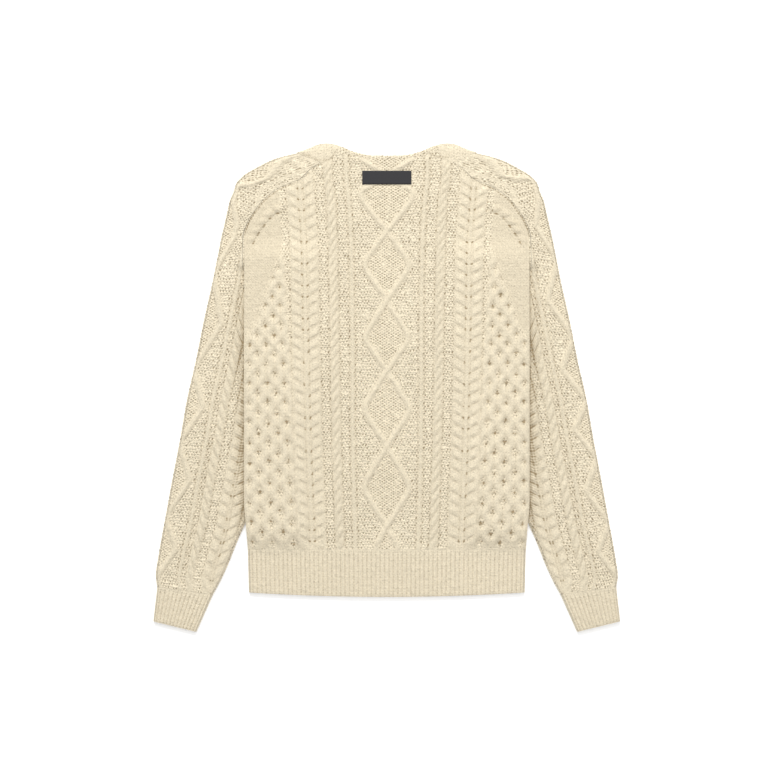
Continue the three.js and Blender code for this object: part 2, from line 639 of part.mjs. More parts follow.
// Flat ribbed tube between a top and a bottom edge: its upper side is ribbed, its rest plain
function ribbedTube(name, ribs, topEdge, endEdge, raised) {
  const outer = [];
  const places = [];
  const inner = [];
  const innerPlaces = [];
  const rows = (target, list, place, across, height, end) => {
    const column = [0, 0.3, 0.94, 1].map((down) => {
      const a = topEdge(across);
      const b = endEdge(across);
      const x = mix(a[0], b[0], down);
      const y = mix(a[1], b[1], down);
      const pinch = down === 1 ? end : 0;
      return [x, y, height - pinch + (raised ? raiseAt(x, y) : 0), down];
    });
    target.push(column);
    list.push(place);
  };
  const wide = Math.hypot(topEdge(1)[0] - topEdge(0)[0], topEdge(1)[1] - topEdge(0)[1]);
  const edge = FOLD / wide;
  const rounded = EDGE_IN / wide;
  rows(outer, places, 0, 0, FOLD, 0);
  rows(outer, places, 1, rounded, PILE - EDGE_IN, 0.3);
  for (let k = 0; k <= 2 * ribs; k += 1) {
    const across = mix(edge, 1 - edge, k / (2 * ribs));
    rows(outer, places, 2 + k, across, PILE + (k % 2) * RIB_HIGH, 0.8);
  }
  const far = 2 * ribs + 4;
  rows(outer, places, far, 1 - rounded, PILE - EDGE_IN, 0.3);
  rows(outer, places, far + 1, 1, FOLD, 0);
  rows(outer, places, far + 2, 1 - rounded, EDGE_IN, 0);
  const under = steps(1 - edge, edge, 0.12);
  under.forEach((across, k) => rows(outer, places, far + 3 + k, across, 0, 0));
  rows(outer, places, 2 * far, rounded, EDGE_IN, 0);
  rows(inner, innerPlaces, 0, edge - edge * 0.05, FOLD, 0);
  const over = steps(edge, 1 - edge, 0.12);
  over.forEach((across) => rows(inner, innerPlaces, 2 + across * 2 * ribs, across, LAYER, 0));
  rows(inner, innerPlaces, far + 1, 1 - edge * 0.95, FOLD, 0);
  under.forEach((across, k) => rows(inner, innerPlaces, far + 3 + k, across, CLOTH, 0));
  return tube(name, WOOL, outer, places, inner, innerPlaces);
}

function buildHem() {
  const top = (across) => [mix(-1, 1, across) * sideAt(-251), HEM_TOP - SEAM_GAP];
  const end = (across) => {
    const s = mix(-1, 1, across);
    return [s * sideAt(-317), HEM_SIDE - HEM_SAG * (1 - s * s)];
  };
  return ribbedTube("hem_rib", HEM_RIBS, top, end, true);
}

function buildCuff(side) {
  const corner = (a, b) => (across) => [side * mix(a[0], b[0], across), mix(a[1], b[1], across)];
  const top = corner(CUFF.foldTop, CUFF.innerTop);
  const end = corner(CUFF.foldEnd, CUFF.innerEnd);
  return ribbedTube(side < 0 ? "cuff_left" : "cuff_right", CUFF_RIBS, top, end, false);
}

// Neck trim: a narrow band along the neck that widens to a leaf at each shoulder
const LEAF = [TRIM_TIP, 110, 119, 129, SHOULDER_TIP];
function buildTrim(name, shared, seam, outerEdge, low, high, roundUp) {
  const stations = [0, ...shared.filter((x) => x > 0 && x < TRIM_TIP - 1), ...LEAF];
  const xs = [...stations.slice(1).map((x) => -x).reverse(), ...stations];
  const face = (height, dip) => xs.map((x) => {
    const far = Math.abs(x);
    const bottom = seam(far);
    const top = Math.max(outerEdge(far), bottom + 0.8);
    const round = Math.min(2.2, (top - bottom) * 0.4);
    return [
      [x, bottom, height, 0], [x, mix(bottom, top, 0.35), height, 0.35],
      [x, top - round, height, 0.7], [x, top, height - dip, 1],
    ];
  });
  const upper = face(high, roundUp ? 2.2 : 0);
  const lower = face(low, roundUp ? 0 : -2.2);
  return sheet(name, WOOL, upper, xs, lower, xs);
}

function trimSeam(x, edge) {
  if (x <= TRIM_TIP) return edge(x) + SEAM_GAP;
  const outward = (x - TRIM_TIP) / (SHOULDER_TIP - TRIM_TIP);
  return mix(edge(TRIM_TIP) + SEAM_GAP, SLEEVE[SLEEVE.length - 1][0] + SEAM_GAP, outward);
}

function buildTrims() {
  const seamed = backLines(1).map((spec) => spec.place(levelOfEnd(spec.place, topAt)));
  const back = buildTrim("neck_trim_back", seamed, (x) => trimSeam(x, topAt),
    (x) => curve(TRIM_EDGE, x), LAYER, PILE + 0.4, true);
  const neck = (x) => (x < NECK_POINT ? line(FRONT_NECK, x) : topAt(x));
  const band = (x) => {
    const steep = (neck(x + 0.5) - neck(x - 0.5));
    const full = curve(TRIM_EDGE, x);
    return x < NECK_POINT ? Math.min(neck(x) + 6 * Math.hypot(1, steep), full) : full;
  };
  const front = buildTrim("neck_trim_front", [...PLAIN_LINES, 88], (x) => trimSeam(x, neck),
    band, 0, CLOTH, false);
  return [back, front];
}

function buildPatch() {
  const xs = steps(-PATCH.width / 2, PATCH.width / 2, 19);
  const base = PILE + MOSS_HIGH + PATCH.lift;
  const face = (height, inset) => xs.map((x) => {
    const far = PATCH.height / 2;
    const at = x * (1 - inset / (PATCH.width / 2));
    return [-far + inset, 0, far - inset].map((y) => [at, PATCH.level + y, height, y]);
  });
  const top = face(base + PATCH.thickness, PATCH_BEVEL);
  return sheet("neck_patch", FELT, top, xs, face(base, 0), xs);
}

const sweater = new THREE.Group();
sweater.name = "cable_knit_sweater";
sweater.add(buildBack(), buildFront(), buildSleeve(-1), buildSleeve(1), buildHem());
sweater.add(buildCuff(-1), buildCuff(1), ...buildTrims(), buildPatch());

export default sweater;
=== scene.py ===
import bpy
import numpy as np
from bpy.props import FloatProperty, FloatVectorProperty, IntProperty, PointerProperty
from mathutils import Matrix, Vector


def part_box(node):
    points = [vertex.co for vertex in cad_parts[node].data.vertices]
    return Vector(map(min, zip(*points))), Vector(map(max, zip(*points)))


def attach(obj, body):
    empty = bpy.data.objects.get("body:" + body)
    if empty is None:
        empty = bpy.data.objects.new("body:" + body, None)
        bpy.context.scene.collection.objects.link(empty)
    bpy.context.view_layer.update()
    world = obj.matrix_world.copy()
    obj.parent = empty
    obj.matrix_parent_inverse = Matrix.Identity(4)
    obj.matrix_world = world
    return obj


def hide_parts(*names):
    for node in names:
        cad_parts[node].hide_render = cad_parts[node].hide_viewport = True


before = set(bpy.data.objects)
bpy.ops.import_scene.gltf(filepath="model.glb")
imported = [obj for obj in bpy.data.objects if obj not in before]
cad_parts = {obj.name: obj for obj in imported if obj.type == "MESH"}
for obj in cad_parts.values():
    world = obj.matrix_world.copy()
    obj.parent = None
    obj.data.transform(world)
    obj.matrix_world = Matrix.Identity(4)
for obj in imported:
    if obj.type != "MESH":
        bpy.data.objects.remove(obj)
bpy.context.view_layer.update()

bl_info = {
    "name": "Cable knit pullover",
    "version": (1, 0, 0),
    "blender": (4, 5, 0),
    "location": "3D View > Sidebar > Pullover",
    "description": "Makes a cable knit pullover laid flat, piece by piece",
    "category": "Add Mesh",
}

MM = 0.001
BODY = "root"

# Levels across the body, in millimetres as every table here
HEM_TOP = -250.5
HEM_SIDE = -317.2
HEM_SAG = 6.8
UNDERARM = 234.8
NECK_POINT = 76.7
TRIM_TIP = 101
SHOULDER_TIP = 138.4

# Half width of the body: level, half width
SIDE = [
    (-324, 213.4), (-252, 215.1), (-221, 217.2), (-174, 220.9), (100, 221), (234.8, 220.1),
]

# Top edge of the back, neck and then armhole: distance from the middle, level
TOP_EDGE = [
    (0, 353.2), (24.5, 353.6), (40.6, 356), (58.6, 359.6), (76.7, 363.5), (86, 357.6),
    (93, 352.6), (102.3, 346.4), (117.8, 335.6), (125.6, 327.1), (133.3, 320.9),
    (147.3, 315.4), (161.2, 310), (173.6, 302.3), (187.6, 291.4), (198.4, 278.2),
    (206.9, 265.8), (212.4, 256.5), (218.6, 241.8), (220.1, 234.8),
]

# Top edge of the front at the neck: distance from the middle, level
FRONT_NECK = [(0, 276), (30, 282), (57, 310), (76.7, 363.5)]

# Outer edge of the neck trim: distance from the middle, level
TRIM_EDGE = [
    (0, 359.4), (24.5, 359.8), (40.6, 362.4), (58, 367.8), (65, 371.2), (76.7, 375.3),
    (86, 377.6), (93, 378.2), (101, 377.6), (110, 375.2), (119, 371.2), (129, 367.6),
    (138.4, 364.8),
]

# Lower edge of the trim as it shows on each shoulder: distance from the middle, level
LEAF_EDGE = {
    -1: [
        (78, 367), (81, 363), (85, 358), (89.5, 353.2), (94, 352.2), (105, 352.2), (116, 356.6),
        (127, 361.4), (133, 364),
    ],
    1: [(62, 366), (70, 361.5), (78, 358.2), (86, 357.2), (94, 359), (98.5, 362.5), (102, 367)],
}

# One strand of the crossed diamonds, the other is its mirror: level, distance to the right
DIAMOND = [
    (-250.5, 19), (-214.7, 0), (-155.8, -38), (-90.7, 0), (-34.1, 38), (25.9, 0),
    (76.6, -36.5), (134.5, 0), (190.2, 38), (242.1, 0), (295.3, -43), (310, -38), (326, 0),
    (341, 21), (352.6, 37), (362, 48),
]

# Lines of the chart: level, single line, rope, wheat cable, first honeycomb column
CHART = [
    (-250.5, 48.5, 71.5, 114.7, 144), (-167, 51, 75.2, 117.8, 148.5),
    (-91, 52.5, 77.5, 120.9, 152.7), (4, 53.2, 79.8, 123.4, 158), (120, 53.7, 81.4, 126, 164.2),
    (210, 54.9, 83.1, 127.6, 169), (283, 58.5, 86.3, 132.5, 173), (330, 63, 92, 136, 175.6),
]

# Where the sleeve lies under the body the body is raised: level, full height from there out
RAISED_FROM = [(-251, 152), (-143, 142), (-19, 126), (89, 117), (174, 122), (235, 135)]
RAISE_RUN = 50
RAISE_TOP = (197, 236)
RAISE_FOOT = (-262, -217)

# Sleeve row by row: level and distance of the fold, then distance and level of the inner edge
SLEEVE = [
    (-308, 355.5, 269, -320.3), (-290.6, 357.9, 258.5, -301), (-267.4, 354.8, 246.3, -275),
    (-236, 349.5, 232.4, -240), (-205.4, 343.8, 218.6, -208), (-143.4, 332.5, 197, -146),
    (-81.4, 320.5, 176.5, -83), (-19.4, 309.7, 158, -20), (42.6, 295.7, 148, 42),
    (104.6, 283.3, 150, 104), (135, 276.5, 168, 135), (166.6, 269.4, 203, 166),
    (180, 266.8, 220.7, 186), (205, 261.8, 220.5, 212), (234.8, 256, 220.1, 234.8),
    (248, 252.9, 216, 0), (272, 247.3, 210, 0), (290.6, 243, 202.7, 0), (303, 237.6, 193, 0),
    (315.4, 233.7, 180.6, 0), (327.8, 222.9, 167.5, 0), (340.2, 202.7, 152, 0),
    (352.6, 177.9, 133.3, 0), (358.8, 157.8, 117.8, 0), (363.3, 138.4, 101.2, 0),
]

# Half diamonds on the sleeves, from the fold: level of the fold, width
SLEEVE_DIAMOND = {
    -1: [
        (-308, 5), (-298.4, 0), (-249, 26), (-200.7, 0), (-143, 28), (-86, 0), (-30, 28),
        (27.9, 0), (100, 29), (174.4, 0), (240, 24), (312.3, 0), (322, 22), (335, 30),
        (348, 19), (363, 0),
    ],
    1: [
        (-308, 6), (-296.8, 0), (-252, 26), (-208.5, 0), (-160, 28), (-109.3, 0), (-64, 28),
        (-20.9, 0), (28, 28), (76.7, 0), (136, 28), (194.5, 0), (250, 22), (324.7, 0),
        (331, 22), (340, 29), (350, 19), (363, 0),
    ],
}
SLEEVE_LINE = 41
SLEEVE_ROPE = 59
SLEEVE_WHEAT = 98

# Cuff corners: fold side and inner side, at the top and at the end
CUFF = {
    "fold_top": (355.4, -308.15), "inner_top": (269.1, -320.45),
    "fold_end": (361.6, -361.9), "inner_end": (294.8, -378.2),
}
CUFF_RIBS = 12
HEM_RIBS = 62

# Parts of the patterns that keep their place in the chart
RIDGE_HALF = 5.2
LINE_HALF = 3.1
ROPE_HALF = 7.2
ROPE_LEAN = 1.6
WHEAT_LEAN = 0.52
WHEAT_MIDDLE = 13.5
WHEAT_HALF = 8.8
COMB_COLUMNS = 4
COMB_ROPE = 7.3
COMB_SWAY = 3.0
ARM_CABLE_HALF = 6.8
ARM_CABLE_PITCH = 16

# Middle of the cable under the armhole: distance from the middle, level
ARM_CABLE = [
    (146, 285), (158, 281), (170, 276), (183, 268.5), (193, 256.5), (203, 243), (211, 229),
    (217, 214),
]

# Length of one stitch of thread along the armhole seam
SEAM_STITCH = 4.6

# Level above which the honeycomb fades out: distance from the middle, level
COMB_END = [(163, 215), (209, 85)]

# Level at which the repeats of the cables have reached the sizes set for the neck
CHART_TOP = 340

# Steps of the turn of a panel's edge and of the half turn of a fold
EDGE_TURNS = np.radians([0, 24, 48, 66])
FOLD_TURNS = np.radians([24, 48, 68, 90, 112, 132, 156])

# Radius of a panel's edge as a share of a fold's, the upright rest of the edge under its turn, and
# how far the plain inner face ends short of the top edge
EDGE_ROUND = 0.5
EDGE_LIP = 0.6
INNER_GAP = 0.3

# Faces of the plain sides that nobody sees from above
FRONT_COLUMNS = 88
FRONT_ROWS = 110
INNER_COLUMNS = 53
INNER_ROWS = 69
LINING_STEPS = 10

# Rows of a sleeve, points across its upper face, faces across a rib and points across a rib's bore
SLEEVE_ROWS = 410
SLEEVE_COLUMNS = 108
RIB_COLUMNS = 8
RIB_LINING = 30

# Floor under the garment: half its side and its level, in metres, and its faces along a side
FLOOR_HALF = 3.0
FLOOR_LEVEL = -0.0004
FLOOR_CELLS = 6

patch_low, patch_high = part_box("neck_patch")


class PulloverSizes(bpy.types.PropertyGroup):
    """Sizes of the cloth, its patterns and its patch"""

    cloth: FloatProperty(
        name="Cloth", description="Thickness of the plain knitted cloth",
        default=0.003, min=0.001, max=0.006, subtype="DISTANCE", unit="LENGTH")
    gap: FloatProperty(
        name="Layer gap", description="Space between two layers that lie on each other",
        default=0.0003, min=0.0001, max=0.001, subtype="DISTANCE", unit="LENGTH")
    seam_gap: FloatProperty(
        name="Seam gap", description="Space between two panels at a seam",
        default=0.00004, min=0.00002, max=0.001, subtype="DISTANCE", unit="LENGTH")
    seam_dip: FloatProperty(
        name="Seam dip", description="How far a panel sinks at its seams",
        default=0.0005, min=0, max=0.002, subtype="DISTANCE", unit="LENGTH")
    ridge: FloatProperty(
        name="Diamond ridge", description="Height of the strands that draw the diamonds",
        default=0.0026, min=0, max=0.003, subtype="DISTANCE", unit="LENGTH")
    moss: FloatProperty(
        name="Moss", description="Height of the moss stitches inside the diamonds",
        default=0.0005, min=0, max=0.003, subtype="DISTANCE", unit="LENGTH")
    line: FloatProperty(
        name="Single line", description="Height of the single raised lines",
        default=0.002, min=0, max=0.003, subtype="DISTANCE", unit="LENGTH")
    rope: FloatProperty(
        name="Rope", description="Height of the narrow ropes",
        default=0.003, min=0, max=0.0035, subtype="DISTANCE", unit="LENGTH")
    wheat: FloatProperty(
        name="Wheat cable", description="Height of the wide wheat cables",
        default=0.003, min=0, max=0.0035, subtype="DISTANCE", unit="LENGTH")
    comb: FloatProperty(
        name="Honeycomb", description="Height of the honeycomb ropes",
        default=0.003, min=0, max=0.0035, subtype="DISTANCE", unit="LENGTH")
    rib: FloatProperty(
        name="Rib", description="Height of the ribs of the hem and cuffs",
        default=0.0013, min=0, max=0.003, subtype="DISTANCE", unit="LENGTH")
    rope_foot: FloatProperty(
        name="Rope crossing, foot", description="Distance between crossings of a rope at the hem",
        default=0.0184, min=0.01, max=0.03, subtype="DISTANCE", unit="LENGTH")
    rope_head: FloatProperty(
        name="Rope crossing, neck", description="Distance between crossings of a rope at the neck",
        default=0.0149, min=0.01, max=0.03, subtype="DISTANCE", unit="LENGTH")
    wheat_foot: FloatProperty(
        name="Wheat crossing, foot", description="Distance between wheat crossings at the hem",
        default=0.0175, min=0.01, max=0.03, subtype="DISTANCE", unit="LENGTH")
    wheat_head: FloatProperty(
        name="Wheat crossing, neck", description="Distance between wheat crossings at the neck",
        default=0.0166, min=0.01, max=0.03, subtype="DISTANCE", unit="LENGTH")
    comb_foot: FloatProperty(
        name="Honeycomb cell, foot", description="Height of a honeycomb cell at the hem",
        default=0.0315, min=0.02, max=0.05, subtype="DISTANCE", unit="LENGTH")
    comb_head: FloatProperty(
        name="Honeycomb cell, armhole", description="Height of a honeycomb cell at the armhole",
        default=0.0285, min=0.02, max=0.05, subtype="DISTANCE", unit="LENGTH")
    stitch_wide: FloatProperty(
        name="Stitch width", description="Width of one stitch",
        default=0.0046, min=0.002, max=0.01, subtype="DISTANCE", unit="LENGTH")
    stitch_high: FloatProperty(
        name="Stitch height", description="Height of one row of stitches",
        default=0.0043, min=0.002, max=0.01, subtype="DISTANCE", unit="LENGTH")
    patch_width: FloatProperty(
        name="Patch width", description="Width of the bare patch at the neck",
        default=patch_high.x - patch_low.x, min=0.02, max=0.12, subtype="DISTANCE", unit="LENGTH")
    patch_height: FloatProperty(
        name="Patch height", description="Height of the bare patch at the neck",
        default=patch_high.y - patch_low.y, min=0.01, max=0.06, subtype="DISTANCE", unit="LENGTH")
    body_columns: IntProperty(
        name="Body columns", description="Faces across the back, which set how fine it is",
        default=256, min=60, max=262)
    body_rows: IntProperty(
        name="Body rows", description="Faces from the hem to the neck of the back",
        default=345, min=60, max=345)


class PulloverColours(bpy.types.PropertyGroup):
    """Colours of the wool, of its painted shade, of the patch and of the floor"""

    wool: FloatVectorProperty(
        name="Wool", description="Colour of the cream wool",
        default=(0.724, 0.640, 0.482), min=0, max=1, size=3, subtype="COLOR")
    # Colour that the painted shade darkens the wool towards, standing for cream wool in shade
    hollow: FloatVectorProperty(
        name="Hollows", description="Colour of the wool deep between the stitches",
        default=(0.26, 0.19, 0.10), min=0, max=1, size=3, subtype="COLOR")
    patch: FloatVectorProperty(
        name="Patch", description="Colour of the woven patch",
        default=(0.031, 0.030, 0.033), min=0, max=1, size=3, subtype="COLOR")
    floor: FloatVectorProperty(
        name="Floor", description="Colour of the pale floor",
        default=(0.97, 0.97, 0.97), min=0, max=1, size=3, subtype="COLOR")


class PulloverStage(bpy.types.PropertyGroup):
    """Camera and light"""

    distance: FloatProperty(
        name="Camera height", description="Height of the camera over the floor",
        default=4.0, min=2, max=10, subtype="DISTANCE", unit="LENGTH")
    view_width: FloatProperty(
        name="View width", description="Width of the floor that the camera sees",
        default=1.20125, min=0.5, max=3, subtype="DISTANCE", unit="LENGTH")
    view_side: FloatProperty(
        name="Camera offset", description="How far the camera stands to the right of the middle",
        default=0.0011, min=-0.2, max=0.2, subtype="DISTANCE", unit="LENGTH")
    key: FloatProperty(
        name="Key light", description="Power of the soft light from the neck side",
        default=175, min=0, max=800, unit="POWER")
    sky: FloatProperty(
        name="Sky", description="Strength of the even light from all round",
        default=0.54, min=0, max=3)


# Reading of tables and soft steps

def mix(a, b, t):
    return a + (b - a) * t


def ease(low, high, value):
    t = np.clip((value - low) / (high - low), 0, 1)
    return t * t * (3 - 2 * t)


def line(table, key, column=1):
    rows = np.array(table, float)
    return np.interp(key, rows[:, 0], rows[:, column])


def curve(table, key, column=1):
    """Smooth reading of a table that never swings past its values"""
    rows = np.array(table, float)
    keys = rows[:, 0]
    values = rows[:, column]
    slopes = np.diff(values) / np.diff(keys)
    before = slopes[:-1]
    after = slopes[1:]
    same = before * after > 0
    inner = np.where(same, 2 * before * after / np.where(same, before + after, 1), 0)
    tangent = np.concatenate([slopes[:1], inner, slopes[-1:]])
    at = np.clip(np.searchsorted(keys, key, side="left") - 1, 0, len(keys) - 2)
    span = keys[at + 1] - keys[at]
    t = np.clip((key - keys[at]) / span, 0, 1)
    rise = mix(values[at], values[at + 1], 3 * t ** 2 - 2 * t ** 3)
    start = t * (1 - t) ** 2 * span * tangent[at]
    end = t ** 2 * (t - 1) * span * tangent[at + 1]
    return rise + start + end


def side_at(y):
    """Half width of the body"""
    return curve(SIDE, y)


def top_at(x):
    """Level of the top edge of the back"""
    return curve(TOP_EDGE, np.abs(x))


def front_edge(x):
    """Level of the top edge of the front"""
    far = np.abs(x)
    return np.where(far < NECK_POINT, line(FRONT_NECK, far), top_at(x))


def dome(u, power=0.6):
    return np.clip(1 - u ** 2, 0, None) ** power


def bell(u):
    return np.exp(-u ** 2)


def saw(phase):
    """0 at each crest and 1 in each crease"""
    return 2 * np.abs(phase - np.round(phase))


def count_up(y, foot, head):
    """Repeats counted up the body, where one repeat shrinks from its foot to its head size"""
    change = (head - foot) / (CHART_TOP - HEM_TOP)
    if abs(change) < 1e-9:
        return (y - HEM_TOP) / foot
    return np.log((foot + change * (y - HEM_TOP)) / foot) / change


def sizes_in_mm(context):
    """The panel's lengths in millimetres"""
    group = context.scene.pullover_sizes
    values = {}
    for prop in group.bl_rna.properties:
        if prop.type == "FLOAT":
            values[prop.identifier] = getattr(group, prop.identifier) / MM
        elif prop.type == "INT":
            values[prop.identifier] = getattr(group, prop.identifier)
    return Sizes(values)


class Sizes:
    """Lengths in millimetres, with the levels that follow from them"""

    def __init__(self, values):
        self.__dict__.update(values)
        self.layer = self.cloth + self.gap
        self.pile = self.layer + self.cloth
        self.fold = self.pile / 2
        self.raised = self.pile + self.gap


def raise_at(size, x, y):
    """Height of the body over the sleeve strips that lie under it"""
    along = ease(*RAISE_FOOT, y) * (1 - ease(*RAISE_TOP, y))
    start = curve(RAISED_FROM, y)
    return size.raised * along * ease(start - RAISE_RUN, start, np.abs(x))


def ends_at(place, edge):
    """Level at which each line up the body meets an edge, searched for by halving"""
    low = np.full(place(np.zeros(1)).shape, 150.0)
    high = np.full_like(low, 372.0)
    for _ in range(40):
        middle = (low + high) / 2
        inside = edge(place(middle)) > middle
        low = np.where(inside, middle, low)
        high = np.where(inside, high, middle)
    return low


# Knitted patterns: every one adds to the same set of fields

class Fields:
    """Height, kind of stitch, painted shade in recesses and stitch count at every point of a
    knitted face
    """

    MARKS = ("knit", "moss", "hollow", "u", "v")

    def __init__(self, size, across, along):
        self.size = size
        self.height = np.zeros_like(across)
        self.knit = np.zeros_like(across)
        self.moss = np.zeros_like(across)
        self.hollow = np.zeros_like(across)
        self.u = across / size.stitch_wide
        self.v = along / size.stitch_high

    def raise_to(self, height):
        self.height = np.maximum(self.height, height)

    # Painted shade: darkens the wool's colour in creases, holes and gaps where shade falls
    def hollow_to(self, hollow):
        self.hollow = np.maximum(self.hollow, hollow)

    def knit_to(self, knit):
        self.knit = np.maximum(self.knit, knit)

    def paste(self, start, other):
        """Takes over the marks of another face, from one column on"""
        for name in self.MARKS:
            getattr(self, name)[start:start + len(other.height)] = getattr(other, name)

    def lean_rows(self, off, lean, half, start=0.0):
        """Slants the rows of stitches inside a cable, and carries the shift on beyond it"""
        self.v = self.v - lean * (np.clip(off, -half, half) + start) / self.size.stitch_high


def dots(along, pitch):
    """1 on each of a row of dots and 0 between them"""
    return np.clip(np.cos(2 * np.pi * along / pitch), 0, 1) ** 1.5


def add_strand(fields, across, over, half, high):
    """A strand of two stitches; across is measured square to it, over is 1 on top and 0 below"""
    shape = dome(across / (half * 1.15), 1.8)
    fields.raise_to(high * shape * mix(0.4, 1, over))
    fields.knit_to(ease(0.1, 0.5, shape))


def add_line(fields, off, along):
    """A single raised line with small holes down both sides, darkened with painted shade"""
    shape = dome(off / (LINE_HALF * 1.15), 1.4)
    fields.raise_to(fields.size.line * shape)
    fields.knit_to(ease(0.1, 0.5, shape))
    beside = bell((np.abs(off) - LINE_HALF - 1.7) / 1.3)
    fields.hollow_to(0.62 * beside * mix(0.7, 1, dots(along + np.sign(off) * 1.6, 6.6)))


def lobe_rise(t):
    """Height of the lobes of a crossing, from one crease up to the next: steep, then easing off"""
    return ease(-0.02, 0.3, t) * (1 - 0.55 * ease(0.35, 1.0, t))


def crease_at(t, wide):
    return bell(np.minimum(np.abs(t - 0.02), np.abs(t - 1.02)) / wide)


def add_rope(fields, off, along, phase, half, high, holes=0, side=1):
    """A crossed rope with painted shade in its creases and beside it; phase counts its lobes, and
    holes is 1 where small holes line its inside, which sink a little and are darkened with painted
    shade
    """
    shape = dome(off / (half * 1.08), 1.15)
    t = phase - np.floor(phase)
    soft = 1 - 0.45 * ease(-0.1, 0.9, off * holes / half)
    fields.raise_to(high * shape * mix(1 - 0.85 * soft, 1, lobe_rise(t)))
    fields.hollow_to(0.50 * soft * crease_at(t, 0.09) * shape ** 0.7)
    fields.knit_to(ease(0.08, 0.4, shape))
    beside = bell((np.abs(off) - half - 0.8) / 1.4)
    strong = 0.42 if holes else 0.62
    fields.hollow_to(strong * beside * mix(0.7, 1, dots(along + np.sign(off) * 2.1, 6.7)))
    if holes:
        chance = scatter(np.round(phase), side)
        inner = bell((off + half + 0.6) / 1.7)
        pit = inner * crease_at(t, 0.12) * ease(0.1, 0.5, chance)
        fields.hollow_to(1.7 * pit)
        fields.height -= 0.7 * pit


def add_wheat(fields, off, side, along, phase_of, middle, half, high):
    """Two ropes whose lobes open like a V, with a thin rib and small holes between them, darkened
    with painted shade
    """
    far = np.abs(off)
    rope_off = far - middle
    fields.lean_rows(rope_off, WHEAT_LEAN, half)
    phase = phase_of(along - WHEAT_LEAN * rope_off)
    add_rope(fields, rope_off, along, phase, half, high, 1, side * np.sign(off))
    fields.raise_to(fields.size.line * 0.5 * dome(off / 2.6, 1.2))
    fields.knit_to(ease(0.0, 0.4, dome(off / middle, 1)))


def add_moss(fields, where, x, y):
    """Small beads in uneven rows inside the diamonds"""
    size = fields.size
    stray = np.sin(0.31 * x + 2.1 * np.sin(0.17 * y)) + np.sin(0.23 * y + 1.7 * np.sin(0.29 * x))
    wide = np.cos(np.pi * (x + 0.8 * stray) / (size.stitch_wide * 0.9))
    tall = np.cos(np.pi * (y - 0.7 * stray) / (size.stitch_high * 0.8))
    bump = np.clip(0.5 + 0.75 * wide * tall, 0, 1) * mix(0.5, 1, 0.5 + 0.25 * stray)
    fields.raise_to(size.moss * where * bump)
    fields.moss = np.maximum(fields.moss, where)


def diamond_wave(y):
    """Distance of one strand to the right, with its turns rounded"""
    return sum(line(DIAMOND, y + shift) for shift in (-11, -6, -2, 2, 6, 11)) / 6


def add_diamonds(fields, x, y):
    """Two strands that cross in turn, with moss between them"""
    wave = diamond_wave(y)
    slope = (diamond_wave(y + 1) - diamond_wave(y - 1)) / 2
    square = np.hypot(1, slope)
    inside = np.clip((np.abs(wave) - np.abs(x)) / square - RIDGE_HALF, 0, 2) / 2
    add_moss(fields, inside, x, y)
    near = 1 - ease(2.5, 9, np.abs(wave))
    for way in (-1, 1):
        rising = slope * way > 0
        over = np.where(rising, 1, 1 - near)
        add_strand(fields, (x - way * wave) / square, over, RIDGE_HALF, fields.size.ridge)


def scatter(*numbers):
    """The same chance value from 0 to 1 for the same whole numbers"""
    mixed = sum(number * factor for number, factor in zip(numbers, (12.9898, 78.233, 37.719)))
    value = np.sin(mixed) * 43758.5453
    return value - np.floor(value)


def add_honeycomb(fields, far, y, side):
    """Ropes that part round small holes and meet between them, fading out under the armhole; the
    holes sink and are darkened with painted shade
    """
    size = fields.size
    first = curve(CHART, y, 4)
    last = side_at(y) - 8
    pitch = (last - first) / COMB_COLUMNS
    place = (far - first) / pitch
    count = count_up(y - 10, size.comb_foot, size.comb_head)
    fade = 1 - ease(-22, 14, y - line(COMB_END, far))
    fade = fade * ease(-1.2, -0.7, place)
    ropes = np.zeros_like(far)
    for column in range(-1, COMB_COLUMNS + 1):
        beat = np.cos(2 * np.pi * (count - 0.5 * (column % 2)))
        off = far - first - pitch * (column + 0.5) - COMB_SWAY * beat
        if column == COMB_COLUMNS:
            off = off + 2.5
        ropes = np.maximum(ropes, dome(off / (COMB_ROPE * 1.05), 1.2))
    height = size.comb * ropes
    hollow = np.zeros_like(far)
    for column in range(COMB_COLUMNS + 1):
        phase = count - 0.5 * (column % 2)
        cell = np.round(phase)
        chance = scatter(column, cell, side)
        rise = (phase - cell) * size.comb_foot + 5 * (scatter(cell, column, side) - 0.5)
        across = far - first - pitch * column + 3 * (chance - 0.5)
        big = mix(0.62, 1.1, chance)
        pit = np.exp(-(((across / (2.1 * big)) ** 2 + (rise / (2.9 * big)) ** 2) ** 1.1))
        # Painted shadow in a ^ along the upper rim of each hole, where the cloth also sinks a
        # little
        wing = bell((rise - 3.4 + 0.8 * np.abs(across)) / 1.35) * bell(across / 6.4)
        # Painted shade in dots where the ropes meet between the holes
        seam = bell(across / 1.0) * bell((np.abs(rise) - 9) / 6) * mix(0.35, 1, dots(y, 4.3))
        height = height * (1 - 0.95 * pit) * (1 - 0.75 * wing) - 1.0 * pit
        hollow = np.maximum(hollow, mix(0.95, 1.4, chance) * pit)
        hollow = np.maximum(hollow, mix(0.55, 1.0, chance) * wing)
        hollow = np.maximum(hollow, 0.75 * seam * mix(0.3, 1, scatter(cell, side, column)))
    kept = np.maximum(height, np.where(place < -0.5, fields.height, -9))
    fields.height = np.where(place > -1.2, mix(fields.height, kept, fade), fields.height)
    fields.hollow_to(fade * hollow)
    fields.knit_to(fade * ease(0.05, 0.4, ropes))
    return fade, place


